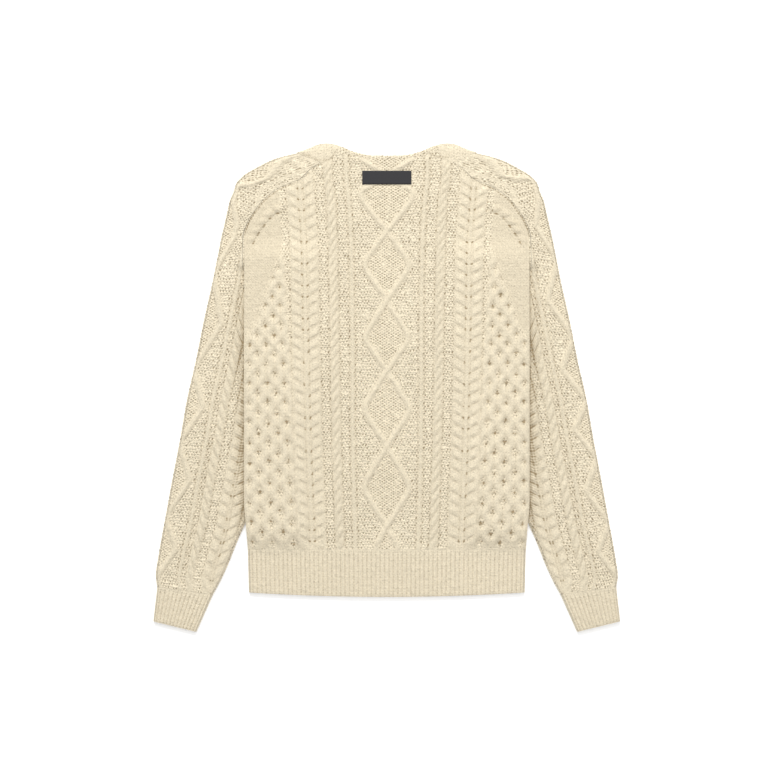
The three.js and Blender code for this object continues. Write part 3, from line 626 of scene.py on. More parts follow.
class Course:
    """A line across the cloth: how far each point lies below it, and how far along it"""

    def __init__(self, spots):
        self.spots = spots
        step = np.hypot(*np.diff(spots, axis=0).T)
        self.length = np.concatenate([[0], np.cumsum(step)])
        self.heading = np.gradient(spots, axis=0)

    def read(self, far, y):
        off = np.full_like(far, 999.0)
        along = np.zeros_like(far)
        near = (y > 150) & (far > 60)
        points = np.stack([far[near], y[near]], axis=1)
        away = points[:, None, :] - self.spots[None, :, :]
        nearest = np.hypot(away[..., 0], away[..., 1]).argmin(axis=1)
        away = away[np.arange(len(nearest)), nearest]
        heading = self.heading[nearest]
        below = heading[:, 1] * away[:, 0] - heading[:, 0] * away[:, 1]
        off[near] = np.hypot(away[:, 0], away[:, 1]) * np.sign(below)
        along[near] = self.length[nearest] + (away * heading).sum(axis=1) / np.hypot(*heading.T)
        return off, along


def armhole_seam():
    x = np.linspace(NECK_POINT, 220.1, 160)
    return Course(np.stack([x, top_at(x)], axis=1))


def arm_cable():
    x = np.linspace(ARM_CABLE[0][0], ARM_CABLE[-1][0], 90)
    return Course(np.stack([x, curve(ARM_CABLE, x)], axis=1))


def seam_shade(off, along):
    """Painted shade in dots along the stitches of the armhole seam"""
    return (0.5 + 0.9 * dots(along, SEAM_STITCH)) * (1 - ease(0.4, 3.4, off))


def add_arm_cable(fields, far, y):
    """The cable under the armhole, with painted shade for the pits along its lower side and in the
    creases between its lobes
    """
    off, along = arm_cable().read(far, y)
    there = ease(152, 162, far) * ease(212, 222, y)
    phase = (along + 0.6 * off) / ARM_CABLE_PITCH
    t = 1 - (phase - np.floor(phase))
    shape = dome(off / ARM_CABLE_HALF, 0.9) * there
    fields.raise_to(0.95 * fields.size.rope * shape * mix(0.15, 1, lobe_rise(t)))
    inner = bell((off - ARM_CABLE_HALF + 0.3) / 2.0) * there
    fields.hollow_to(inner * mix(0.45, 1.3, crease_at(t, 0.16)))
    fields.hollow_to(0.4 * there * bell(off / 5.0) * crease_at(t, 0.08))


def clear_patch(fields, far, y):
    """Presses the pattern flat under the patch"""
    size = fields.size
    off = np.maximum(far - size.patch_width / 2, np.abs(y - patch_level()) - size.patch_height / 2)
    cleared = mix(0.5, fields.height, ease(1.5, 6, off))
    fields.height = np.minimum(fields.height, cleared)


def settle_edges(fields, x, y):
    """Runs the pattern out at the armhole, neck and hem, and paints shade in dots along the
    stitches of the armhole seam
    """
    size = fields.size
    far = np.abs(x)
    off, along = armhole_seam().read(far, y)
    off = np.abs(off)
    below = top_at(x) - y
    run_out = ease(1.5, 8, np.minimum(off, 2 + below * 0.7))
    fields.height = mix(join_height(size), fields.height * run_out, ease(0, 15, y - HEM_TOP))
    seam = np.minimum(off, below)
    fields.hollow_to(ease(130, 150, far) * seam_shade(seam, along))
    dip = size.seam_dip * (1 - ease(0, 4.5, seam))
    fields.height = fields.height - dip * ease(122, 150, far)


def back_fields(size, x, y):
    """Everything that is knitted into the back"""
    far = np.abs(x)
    side = np.where(x < 0, -1.0, 1.0)
    fields = Fields(size, x, y)

    def rope_phase(level):
        return count_up(level, size.rope_foot, size.rope_head)

    def wheat_phase(level):
        return count_up(level, size.wheat_foot, size.wheat_head)

    add_diamonds(fields, x, y)
    add_line(fields, far - curve(CHART, y, 1), y)
    off = (far - curve(CHART, y, 2)) * side
    fields.lean_rows(off, ROPE_LEAN, ROPE_HALF, side * ROPE_HALF)
    add_rope(fields, off, y, rope_phase(y - ROPE_LEAN * off), ROPE_HALF, size.rope)
    add_wheat(fields, far - curve(CHART, y, 3), side, y, wheat_phase, WHEAT_MIDDLE, WHEAT_HALF,
              size.wheat)
    fade, place = add_honeycomb(fields, far, y, side)
    plain = ease(-1.0, -0.5, place) * (1 - fade)
    fields.knit_to(plain)
    fields.raise_to(0.3 * plain)
    # Painted shade over the plain purl, a little darker all over
    fields.hollow_to(0.27 * plain)
    add_arm_cable(fields, far, y)
    clear_patch(fields, far, y)
    settle_edges(fields, x, y)
    leaf_shade(fields, x, y)
    return fields


def leaf_shade(fields, x, y):
    """Painted shade along and just under the soft lower edge of the neck trim, a curve that dips
    between the neck and the shoulder
    """
    for side, edge in LEAF_EDGE.items():
        far = side * x
        below = curve(edge, far) - y
        start, end = edge[0][0], edge[-1][0]
        there = ease(start, start + 5, far) * (1 - ease(end - 5, end, far))
        fields.hollow_to(0.7 * there * (1 - ease(0, 3.6, below)) * ease(-1.4, 0.2, below))


def join_height(size):
    """Height at which the ribs meet the patterned cloth"""
    return 0.95 * size.rib


def patch_level():
    return (patch_low.y + patch_high.y) / 2 / MM


# Building of closed pieces

class Shell:
    """Points and faces of one closed piece, with the stitch fields of its points"""

    def __init__(self, size):
        self.size = size
        self.points = []
        self.marks = []
        self.quads = []
        self.triangles = []
        self.count = 0

    def grid(self, points, fields=None, turned=False, ring=False):
        """Points as columns of rows; faces between neighbouring columns"""
        columns, rows = points.shape[:2]
        ids = self.count + np.arange(columns * rows).reshape(columns, rows)
        self.count += columns * rows
        self.points.append(points.reshape(-1, 3))
        if fields is None:
            fields = Fields(self.size, points[..., 0], points[..., 1])
        marks = [getattr(fields, name).ravel() for name in Fields.MARKS]
        self.marks.append(np.stack(marks, axis=1))
        a = ids
        b = np.roll(ids, -1, axis=0)
        if not ring:
            a = a[:-1]
            b = b[:-1]
        corners = [a[:, :-1], b[:, :-1], b[:, 1:], a[:, 1:]]
        if turned:
            corners.reverse()
        self.quads.append(np.stack([corner.ravel() for corner in corners], axis=1))
        return ids

    def bridge(self, a, b, a_place, b_place):
        """Triangles between two runs of points, each with its place along the run"""
        i = 0
        j = 0
        while i < len(a) - 1 or j < len(b) - 1:
            if j == len(b) - 1 or (i < len(a) - 1 and a_place[i + 1] <= b_place[j + 1] + 1e-6):
                self.triangles.append((a[i], b[j], a[i + 1]))
                i += 1
            else:
                self.triangles.append((a[i], b[j], b[j + 1]))
                j += 1

    def close_sheet(self, outer, inner, outer_place, inner_place):
        """Joins an outer and an inner face along all four edges"""
        rows_out = np.linspace(0, 1, outer.shape[1])
        rows_in = np.linspace(0, 1, inner.shape[1])
        self.bridge(inner[0], outer[0], rows_in, rows_out)
        self.bridge(outer[-1], inner[-1], rows_out, rows_in)
        self.bridge(inner[:, -1], outer[:, -1], inner_place, outer_place)
        self.bridge(outer[:, 0], inner[:, 0], outer_place, inner_place)

    def close_tube(self, outer, inner, outer_place, inner_place):
        """Joins the two rims at each end of a flat tube"""
        outer_place = np.append(outer_place, 9e9)
        inner_place = np.append(inner_place, 9e9)
        for row in (-1, 0):
            rim = np.append(outer[:, row], outer[0, row])
            bore = np.append(inner[:, row], inner[0, row])
            if row == -1:
                self.bridge(bore, rim, inner_place, outer_place)
            else:
                self.bridge(rim, bore, outer_place, inner_place)

    def make(self, name, node, material):
        """The finished piece, which takes the place of one solid"""
        points = np.concatenate(self.points) * MM
        quads = np.concatenate(self.quads)
        triangles = np.array(self.triangles, int).reshape(-1, 3)
        halves = np.concatenate([triangles, quads[:, :3], quads[:, [0, 2, 3]]])
        a, b, c = (points[halves[:, k]] for k in range(3))
        if (a * np.cross(b, c)).sum() < 0:
            quads = quads[:, ::-1]
            triangles = triangles[:, ::-1]
        mesh = bpy.data.meshes.new(name)
        mesh.from_pydata(points.tolist(), [], quads.tolist() + triangles.tolist())
        marks = np.concatenate(self.marks)
        for k, mark in enumerate(Fields.MARKS[:3]):
            mesh.attributes.new(mark, "FLOAT", "POINT").data.foreach_set("value", marks[:, k])
        corner = np.zeros(len(mesh.loops), int)
        mesh.loops.foreach_get("vertex_index", corner)
        stitch = mesh.uv_layers.new(name="stitches")
        stitch.data.foreach_set("uv", marks[corner, 3:5].ravel())
        smooth = np.arange(len(mesh.polygons)) < len(quads)
        mesh.polygons.foreach_set("use_smooth", smooth)
        self.sharpen(mesh, triangles)
        mesh.materials.append(material)
        mesh.update()
        piece = bpy.data.objects.new(name, mesh)
        bpy.context.scene.collection.objects.link(piece)
        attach(piece, BODY)
        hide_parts(node)
        return piece

    def sharpen(self, mesh, triangles):
        """Marks the edges of the rim, so that its slope doesn't shade the faces beside it"""
        ends = np.zeros(2 * len(mesh.edges), int)
        mesh.edges.foreach_get("vertices", ends)
        ends = np.sort(ends.reshape(-1, 2), axis=1)
        rim = np.sort(np.concatenate([triangles[:, [0, 1]], triangles[:, [1, 2]],
                                      triangles[:, [2, 0]]]), axis=1)
        sharp = np.isin(ends[:, 0] * self.count + ends[:, 1], rim[:, 0] * self.count + rim[:, 1])
        mesh.edges.foreach_set("use_edge_sharp", sharp)


# Panels of the body

def panel_places(size, columns):
    """Multiplier and inset of each column across a panel, with rounded side edges"""
    across = np.linspace(-1, 1, columns + 1)
    turn = size.fold * EDGE_ROUND
    insets = turn * (1 - np.sin(EDGE_TURNS[1:]))
    turned = np.append(insets, 0)
    factor = np.concatenate([-np.ones(len(turned)), across, np.ones(len(turned))])
    inset = np.concatenate([turned[::-1], np.full(columns + 1, turn), turned])
    sinks = turn * (1 - np.cos(EDGE_TURNS[1:]))
    sink = np.append(sinks, size.cloth - EDGE_LIP)
    drop = np.concatenate([sink[::-1], np.zeros(columns + 1), sink])
    return factor, inset, drop


def panel_points(factor, inset, rows, edge, edge_gap=0.0):
    """Places of a panel's points, as columns of rows from the hem to its top edge"""
    def place(y):
        return factor * (side_at(y) - inset)
    end = ends_at(lambda y: np.abs(place(y)), edge) - edge_gap
    t = np.linspace(0, 1, rows + 1)
    y = HEM_TOP + (end[:, None] - HEM_TOP) * t[None, :]
    x = factor[:, None] * (side_at(y) - inset[:, None])
    return x, y


def inner_face(edge):
    """Places of the coarse points inside a panel"""
    across = np.linspace(-1, 1, INNER_COLUMNS)
    return panel_points(across, np.zeros(INNER_COLUMNS), INNER_ROWS, edge, INNER_GAP)


def lay_panel():
    """Works out the full width of the body at one level, and keeps nothing"""
    2 * side_at(100.0) * MM


def build_back(size, material):
    """The back with its whole pattern"""
    shell = Shell(size)
    factor, inset, drop = panel_places(size, size.body_columns)
    x, y = panel_points(factor, inset, size.body_rows, top_at)
    fields = back_fields(size, x, y)
    edge = ease(0, 2.5, side_at(y) - size.fold * EDGE_ROUND - np.abs(x))
    edge = np.where(drop[:, None] > 0, 0, edge)
    fields.height = np.where(y < UNDERARM, fields.height * edge, fields.height)
    sunk = drop[:, None] * (1 - ease(150, 196, y))
    z = size.pile + raise_at(size, x, y) + fields.height - sunk
    outer = shell.grid(np.stack([x, y, z], axis=-1), fields)
    xi, yi = inner_face(top_at)
    zi = size.layer + raise_at(size, xi, yi)
    inner = shell.grid(np.stack([xi, yi, zi], axis=-1), turned=True)
    shell.close_sheet(outer, inner, x[:, -1], xi[:, -1])
    piece = shell.make("back_knit", "back_panel", material)
    lay_panel()


def build_front(size, material):
    """The plain front, which the garment lies on"""
    shell = Shell(size)
    factor, inset, drop = panel_places(size, FRONT_COLUMNS)
    x, y = panel_points(factor, inset, FRONT_ROWS, front_edge, INNER_GAP)
    z = raise_at(size, x, y) + drop[:, None]
    fields = Fields(size, x, y)
    fields.knit[:] = 1
    lower = shell.grid(np.stack([x, y, z], axis=-1), fields, turned=True)
    xi, yi = inner_face(front_edge)
    upper = shell.grid(np.stack([xi, yi, size.cloth + raise_at(size, xi, yi)], axis=-1))
    shell.close_sheet(upper, lower, xi[:, -1], x[:, -1])
    piece = shell.make("front_knit", "front_panel", material)
    lay_panel()


# Sleeves

def sleeve_frame(size, level):
    """Fold point and inner point of each row of a sleeve"""
    to_underarm = [row for row in SLEEVE if row[0] <= UNDERARM]
    fold_x = curve(SLEEVE, level, 1)
    low = level <= UNDERARM
    inner_x = np.where(low, curve(SLEEVE, level, 2), line(SLEEVE, level, 2))
    fall = top_at(inner_x - 0.5) - top_at(inner_x + 0.5)
    over = top_at(inner_x) + size.seam_gap * np.hypot(1, fall)
    inner_y = np.where(low, curve(to_underarm, np.minimum(level, UNDERARM), 3), over)
    return fold_x, inner_x, inner_y


def sleeve_fields(size, side, level, distance, width, x, y):
    """Everything that is knitted into the face of a sleeve that shows"""

    def wheat_phase(at):
        return count_up(at, size.wheat_foot, size.wheat_foot)

    squeeze = mix(0.88, 1, ease(-308, -200, level))
    off = distance / squeeze
    fields = Fields(size, off, level)
    diamonds = SLEEVE_DIAMOND[side]
    ridge = (line(diamonds, level - 5) + 2 * line(diamonds, level) + line(diamonds, level + 5)) / 4
    ridge = np.minimum(ridge, width * 0.57)
    slope = (line(diamonds, level + 2) - line(diamonds, level - 2)) / 4
    square = np.hypot(1, slope)
    add_moss(fields, np.clip((ridge - distance) / square - RIDGE_HALF, 0, 2) / 2, off, level)
    add_strand(fields, (distance - ridge) / square, 1, RIDGE_HALF, size.ridge)
    shown = (1 - ease(205, 262, level)) * mix(0.6, 1, ease(-300, -250, level))
    before = fields.height
    hollow = fields.hollow
    add_line(fields, off - SLEEVE_LINE, level)
    rope_off = off - SLEEVE_ROPE
    fields.lean_rows(rope_off, -ROPE_LEAN, ROPE_HALF)
    phase = count_up(level + ROPE_LEAN * rope_off, size.rope_foot, size.rope_foot)
    add_rope(fields, rope_off, level, phase, ROPE_HALF, size.rope)
    add_wheat(fields, off - SLEEVE_WHEAT, side, level, wheat_phase, WHEAT_MIDDLE * 0.78,
              WHEAT_HALF * 0.86, size.wheat)
    fields.height = mix(before, fields.height, shown)
    fields.hollow = mix(hollow, fields.hollow, shown)

    # The pattern runs out beside the body, at the seam, at the fold, at the shoulder and the cuff
    outside = np.abs(x) - side_at(y)
    inner_end = width - distance
    bare = np.where(y < 215, ease(1, 6, outside), 1)
    bare = bare * ease(0, 8, inner_end - 1)
    bare = bare * ease(0, 4, distance - size.fold)
    bare = bare * ease(0, 6, SLEEVE[-1][0] - level)
    fields.height = mix(join_height(size), fields.height * bare, ease(0, 14, level - SLEEVE[0][0]))
    seam = np.where(y > 230, inner_end, 99)
    dip = size.seam_dip * (1 - ease(0, 4.5, seam))
    fields.height = fields.height - dip * (1 - ease(300, 326, level))

    # Painted shadow on the sleeve close to the raised side of the body
    under = (1 - ease(-3, 25, outside)) * (1 - ease(60, 212, y))
    fields.hollow = np.clip(fields.hollow + 0.66 * np.where(y < 215, under, 0), 0, 1.2)
    leaf_shade(fields, x, y)
    return fields


def armhole_shade(x, y, level):
    """Painted shade in dots along the stitches on the sleeve's side of the armhole seam"""
    off, along = armhole_seam().read(np.abs(x), y)
    there = ease(226, 236, y) * (1 - ease(300, 322, level))
    return there * seam_shade(np.abs(off), along)


def rise_to_body(size, points):
    """Lift of the sleeve's upper layer where it is sewn to the raised side of the body"""
    x = points[..., 0]
    y = points[..., 1]
    outside = np.abs(x) - side_at(y)
    there = ease(178, 192, y) * (1 - ease(228, 236, y)) * (1 - ease(0, 20, outside))
    return 0.92 * there * raise_at(size, np.sign(x) * side_at(y), y)


def build_sleeve(size, side, material):
    """A sleeve folded flat: seam edge, upper face, fold and lower face go round it in turn"""
    shell = Shell(size)
    level = np.linspace(SLEEVE[0][0], SLEEVE[-1][0], SLEEVE_ROWS + 1)
    fold_x, inner_x, inner_y = sleeve_frame(size, level)
    width = np.hypot(inner_x - fold_x, inner_y - level)

    def points_at(distance, z):
        t = distance / width
        x = side * mix(fold_x, inner_x, t)
        y = mix(level, inner_y, t)
        return np.stack([x, y, np.broadcast_to(z, x.shape)], axis=-1)

    # Edge at the seam: upright under the body, and flush with the back above the underarm
    open_seam = ease(176, 200, level)
    turns = EDGE_TURNS[1:]
    lip = size.layer + EDGE_LIP
    columns = [points_at(width, mix(lip, size.pile - size.seam_dip, open_seam))]
    flat_z = size.pile - size.seam_dip * 0.6
    for turn in turns[::-1]:
        inset = size.fold * (1 - np.sin(turn))
        round_z = size.pile - size.fold * (1 - np.cos(turn))
        columns.append(points_at(width - inset, mix(round_z, flat_z, open_seam)))
    columns = np.stack(columns)

    # Upper face with its pattern
    spans = np.linspace(0, 1, SLEEVE_COLUMNS)
    distance = mix(width - size.fold, size.fold, spans[:, None])
    wide = np.broadcast_to(width, distance.shape)
    levels = np.broadcast_to(level, distance.shape)
    upper = points_at(distance, size.pile)
    fields = sleeve_fields(size, side, levels, distance, wide, upper[..., 0], upper[..., 1])
    upper[..., 2] += fields.height

    # Fold and lower face
    folded = []
    for turn in FOLD_TURNS:
        inset = size.fold * (1 - np.sin(turn))
        folded.append(points_at(inset, size.fold + size.fold * np.cos(turn)))
    lower = [points_at(mix(size.fold, width - size.fold, k), 0) for k in np.linspace(0, 1, 14)]
    for turn in turns:
        inset = size.fold * (1 - np.sin(turn))
        lower.append(points_at(width - inset, mix(size.fold * (1 - np.cos(turn)), 0, open_seam)))
    lower.append(points_at(width, mix(size.cloth - EDGE_LIP, 0, open_seam)))

    columns[..., 2] += rise_to_body(size, columns)
    upper[..., 2] += rise_to_body(size, upper)
    points = np.concatenate([columns, upper, np.stack(folded), np.stack(lower)])
    whole = Fields(size, points[..., 0], points[..., 1])
    start = len(columns)
    whole.hollow[:start] = armhole_shade(columns[..., 0], columns[..., 1], level)
    whole.paste(start, fields)
    outer = shell.grid(points, whole)

    # Lining, the two inner faces with a thin gap between them
    steps = np.linspace(0, 1, LINING_STEPS + 1)
    lining = [points_at(mix(width, size.fold, k), size.layer) for k in steps]
    lining.append(points_at(size.fold - size.gap / 2, size.fold))
    lining += [points_at(mix(width, size.fold, k), size.cloth) for k in steps[::-1]]
    lining = np.stack(lining)
    lining[:len(steps), :, 2] += rise_to_body(size, lining[:len(steps)])
    inner = shell.grid(lining, turned=True)
    outer_place = np.concatenate([
        np.linspace(0, 0.02, start), np.linspace(0.03, 0.47, len(spans)),
        np.linspace(0.48, 0.52, len(folded)), np.linspace(0.53, 1, len(lower))])
    inner_place = np.concatenate([0.47 * steps, [0.5], mix(0.53, 1, steps)])
    shell.close_sheet(outer, inner, outer_place, inner_place)
    name = "sleeve_left" if side < 0 else "sleeve_right"
    piece = shell.make(name + "_knit", name, material)


# Ribbed ends

def rib_fields(size, across, down, ribs, long):
    """Ribs across a flat tube: across counts from edge to edge, down from the seam to the end"""
    count = across * ribs
    phase = saw(count)
    fields = Fields(size, across * ribs * size.stitch_wide, -down * long)
    high = size.rib * (1 - phase ** 2.2)
    fields.height = mix(join_height(size), high, ease(0, 0.2, down))
    fields.knit[:] = 1
    fields.u = count + 0.5
    stitch = 0.5 + 0.5 * np.cos(2 * np.pi * down * long / size.stitch_high)
    # Painted shade in the grooves between the ribs, striped by the rows of stitches
    fields.hollow = 0.52 * ease(0.55, 1, phase) * mix(0.6, 1, stitch) * ease(-0.06, 0.03, down)
    return fields


def build_ribbed(size, name, ribs, top_edge, end_edge, raised, material):
    """A flat ribbed tube between two edges, raised where it lies on the sleeves"""
    shell = Shell(size)
    long = np.hypot(*(np.array(end_edge(0.5)) - np.array(top_edge(0.5))))
    wide = np.hypot(*(np.array(top_edge(1.0)) - np.array(top_edge(0.0))))
    rows = max(12, int(long / 2.2))
    ending = np.array([2.1, 1.2, 0.5, 0])
    down = np.concatenate([np.linspace(0, 1 - 3 / long, rows), 1 - ending / long])

    def points_at(across, z):
        top = np.stack(np.broadcast_arrays(*top_edge(across[:, None])), axis=-1)
        end = np.stack(np.broadcast_arrays(*end_edge(across[:, None])), axis=-1)
        at = mix(top, end, down[None, :, None])
        lift = raise_at(size, at[..., 0], at[..., 1]) if raised else 0
        return np.concatenate([at, (z + lift)[..., None]], axis=-1)

    edge = size.fold / wide
    upper = np.linspace(edge, 1 - edge, ribs * RIB_COLUMNS + 1)
    rise = rib_fields(size, (upper[:, None] - edge) / (1 - 2 * edge), down[None, :], ribs, long)
    round_end = 0.5 * ease(3, 0, (1 - down) * long)
    z = size.pile + rise.height - round_end
    turn = edge * (1 - np.sin(FOLD_TURNS))
    turn_z = size.fold * (1 + np.cos(FOLD_TURNS))
    lower = np.linspace(1 - edge, edge, 42)
    flat = np.zeros((1, len(down)))
    parts = [
        points_at(upper, z), points_at(1 - turn, turn_z[:, None] + flat),
        points_at(lower, np.zeros((len(lower), 1)) + flat),
        points_at(turn, turn_z[::-1, None] + flat),
    ]
    points = np.concatenate(parts)
    whole = Fields(size, points[..., 0] / 1.45, points[..., 1])
    whole.knit[:] = 1
    whole.paste(0, rise)
    outer = shell.grid(points, whole, ring=True)
    bore = np.linspace(0, 1, RIB_LINING)
    bore_across = mix(edge, 1 - edge, bore)
    inner_across = np.concatenate([
        bore_across, [1 - edge * 0.95], bore_across[::-1], [edge * 0.95]])
    inner_z = np.concatenate([
        0 * bore + size.layer, [size.fold], 0 * bore + size.cloth, [size.fold]])
    inner = shell.grid(points_at(inner_across, inner_z[:, None] + flat), turned=True, ring=True)
    outer_place = np.concatenate([
        np.linspace(0, 1, len(upper)), np.linspace(1.02, 1.08, len(turn)),
        np.linspace(1.1, 2.1, len(lower)), np.linspace(2.12, 2.18, len(turn))])
    inner_place = np.concatenate([bore, [1.05], 1.1 + bore, [2.15]])
    shell.close_tube(outer, inner, outer_place, inner_place)
    piece = shell.make(name + "_knit", name, material)
    across = np.linspace(0, 1, 60)
    edges = [np.broadcast_arrays(*edge_at(across)) for edge_at in (top_edge, end_edge)]


def build_hem(size, material):
    """The ribbed hem, whose end sags a little in the middle"""

    def top(across):
        return mix(-1, 1, across) * side_at(-251.0), HEM_TOP - size.seam_gap

    def end(across):
        s = mix(-1, 1, across)
        return s * side_at(-317.0), HEM_SIDE - HEM_SAG * (1 - s * s)

    build_ribbed(size, "hem_rib", HEM_RIBS, top, end, True, material)


def build_cuff(size, side, material):
    """A ribbed cuff, tapered and turned with its sleeve"""

    def corner(a, b):
        return lambda across: (side * mix(a[0], b[0], across), mix(a[1], b[1], across))

    name = "cuff_left" if side < 0 else "cuff_right"
    top = corner(CUFF["fold_top"], CUFF["inner_top"])
    end = corner(CUFF["fold_end"], CUFF["inner_end"])
    build_ribbed(size, name, CUFF_RIBS, top, end, False, material)


# Neck trims

def trim_seam(size, far, edge):
    """Inner edge of a trim: along the neck, then along the top row of the sleeve"""
    outward = np.clip((far - TRIM_TIP) / (SHOULDER_TIP - TRIM_TIP), 0, 1)
    tip = edge(np.array(float(TRIM_TIP))) + size.seam_gap
    leaf = mix(tip, SLEEVE[-1][0] + size.seam_gap, outward)
    return np.where(far <= TRIM_TIP, edge(far) + size.seam_gap, leaf)


def build_trim(size, name, edge, outer_edge, low, high, rounded_up, material):
    """A band between two edges, thinner towards its outer edge on the side that shows"""
    shell = Shell(size)
    x = np.union1d(np.linspace(-SHOULDER_TIP, SHOULDER_TIP, 241),
                   [-TRIM_TIP, -NECK_POINT, NECK_POINT, TRIM_TIP])
    far = np.abs(x)
    bottom = trim_seam(size, far, edge)
    top = np.maximum(outer_edge(far), bottom + 0.8)
    share = np.array([0, 0.08, 0.2, 0.35, 0.5, 0.65, 0.78, 0.9, 1])
    y = mix(bottom[:, None], top[:, None], share[None, :])
    share = share[None, :]
    upper = high + np.zeros_like(y)
    under = low + np.zeros_like(y)
    if rounded_up:
        upper = upper + 0.3 * dome(2 * share - 1, 1) - 2.0 * ease(0.5, 1, share) ** 2
    else:
        under = under + 1.6 * ease(0.62, 1, share) ** 2
    wide = np.broadcast_to(x[:, None], y.shape)
    fields = Fields(size, y - bottom[:, None], wide)
    leaf = ease(70, 86, np.abs(wide))
    fields.knit = 0.75 * leaf
    # Painted shade in dots towards the trim's outer edge, away from the shoulders
    fields.hollow = 0.45 * ease(0.55, 1, share) * (1 - leaf) * mix(0.6, 1, dots(wide, 5.2))
    leaf_shade(fields, wide, y)
    outer = shell.grid(np.stack([wide, y, upper], -1), fields)
    inner = shell.grid(np.stack([wide, y, under], -1), turned=True)
    shell.close_sheet(outer, inner, x, x)
    piece = shell.make(name + "_knit", name, material)


# Patch at the back of the neck

def build_patch(size, material):
    """The bare patch with softly rounded edges"""
    shell = Shell(size)
    base = patch_low.z / MM
    tall = (patch_high.z - patch_low.z) / MM
    turn = np.radians([0, 30, 60, 90])
    inset = 0.55 * (1 - np.sin(turn))[::-1]
    sink = 0.5 * (1 - np.cos(turn))

    def places(half, count):
        """Places from edge to edge with the sink of each, both ends rounded"""
        inside = np.linspace(-half + 2, half - 2, count)
        return (np.concatenate([-half + inset[::-1], inside, half - inset]),
                np.concatenate([sink[::-1], np.zeros(count), sink]))

    across, drop_x = places(size.patch_width / 2, 49)
    along, drop_y = places(size.patch_height / 2, 15)
    x, y = np.meshgrid(across, along, indexing="ij")
    drop = np.maximum(drop_x[:, None], drop_y[None, :])
    z = base + tall - drop
    level = patch_level()
    outer = shell.grid(np.stack([x, y + level, z], -1))
    inner = shell.grid(np.stack([x, y + level, np.full_like(x, base)], -1), turned=True)
    shell.close_sheet(outer, inner, across, across)
    return shell.make("patch_woven", "neck_patch", material)


# Materials

class Graph:
    """Short way to lay out the nodes of a material"""

    def __init__(self, name):
        self.material = bpy.data.materials.new(name)
        self.material.use_nodes = True
        self.tree = self.material.node_tree
        self.tree.nodes.clear()

    def node(self, kind, inputs=None, **settings):
        made = self.tree.nodes.new(kind)
        for key, value in settings.items():
            setattr(made, key, value)
        for key, value in (inputs or {}).items():
            self.put(made.inputs[key], value)
        return made

    def put(self, socket, value):
        if isinstance(value, bpy.types.NodeSocket):
            self.tree.links.new(value, socket)
        else:
            socket.default_value = value

    def math(self, operation, a, b=0.0):
        return self.node("ShaderNodeMath", {0: a, 1: b}, operation=operation).outputs[0]

    def times(self, a, b):
        return self.math("MULTIPLY", a, b)

    def plus(self, a, b):
        return self.math("ADD", a, b)

    def minus(self, a, b):
        return self.math("SUBTRACT", a, b)

    def power(self, a, b):
        return self.math("POWER", a, b)

    def mark(self, name):
        return self.node("ShaderNodeAttribute", attribute_name=name).outputs["Fac"]

    def noise(self, vector, scale, detail=2.0, rough=0.5):
        made = self.node("ShaderNodeTexNoise", {
            "Vector": vector, "Scale": scale, "Detail": detail, "Roughness": rough})
        return made.outputs["Fac"]

    def blend(self, factor, a, b, mode="MIX"):
        made = self.node("ShaderNodeMix", data_type="RGBA", blend_type=mode)
        self.put(made.inputs[0], factor)
        self.put(made.inputs[6], a)
        self.put(made.inputs[7], b)
        return made.outputs[2]

    def mixed(self, factor, a, b):
        made = self.node("ShaderNodeMix", data_type="FLOAT")
        self.put(made.inputs[0], factor)
        self.put(made.inputs[2], a)
        self.put(made.inputs[3], b)
        return made.outputs[0]

    def wave(self, value):
        """From 0 to 1 and back once for every unit of the value"""
        turned = self.math("COSINE", self.times(value, 2 * np.pi))
        return self.plus(self.times(turned, 0.5), 0.5)

    def toned(self, colour, tone):
        """A colour made darker or lighter"""
        shade = self.node("ShaderNodeCombineColor", {0: tone, 1: tone, 2: tone}).outputs[0]
        return self.blend(1.0, (*colour, 1), shade, "MULTIPLY")

    def part(self, value, low, high):
        """How far a value lies between two others, from 0 to 1"""
        limits = {"Value": value, 1: low, 2: high}
        return self.node("ShaderNodeMapRange", limits, clamp=True).outputs[0]


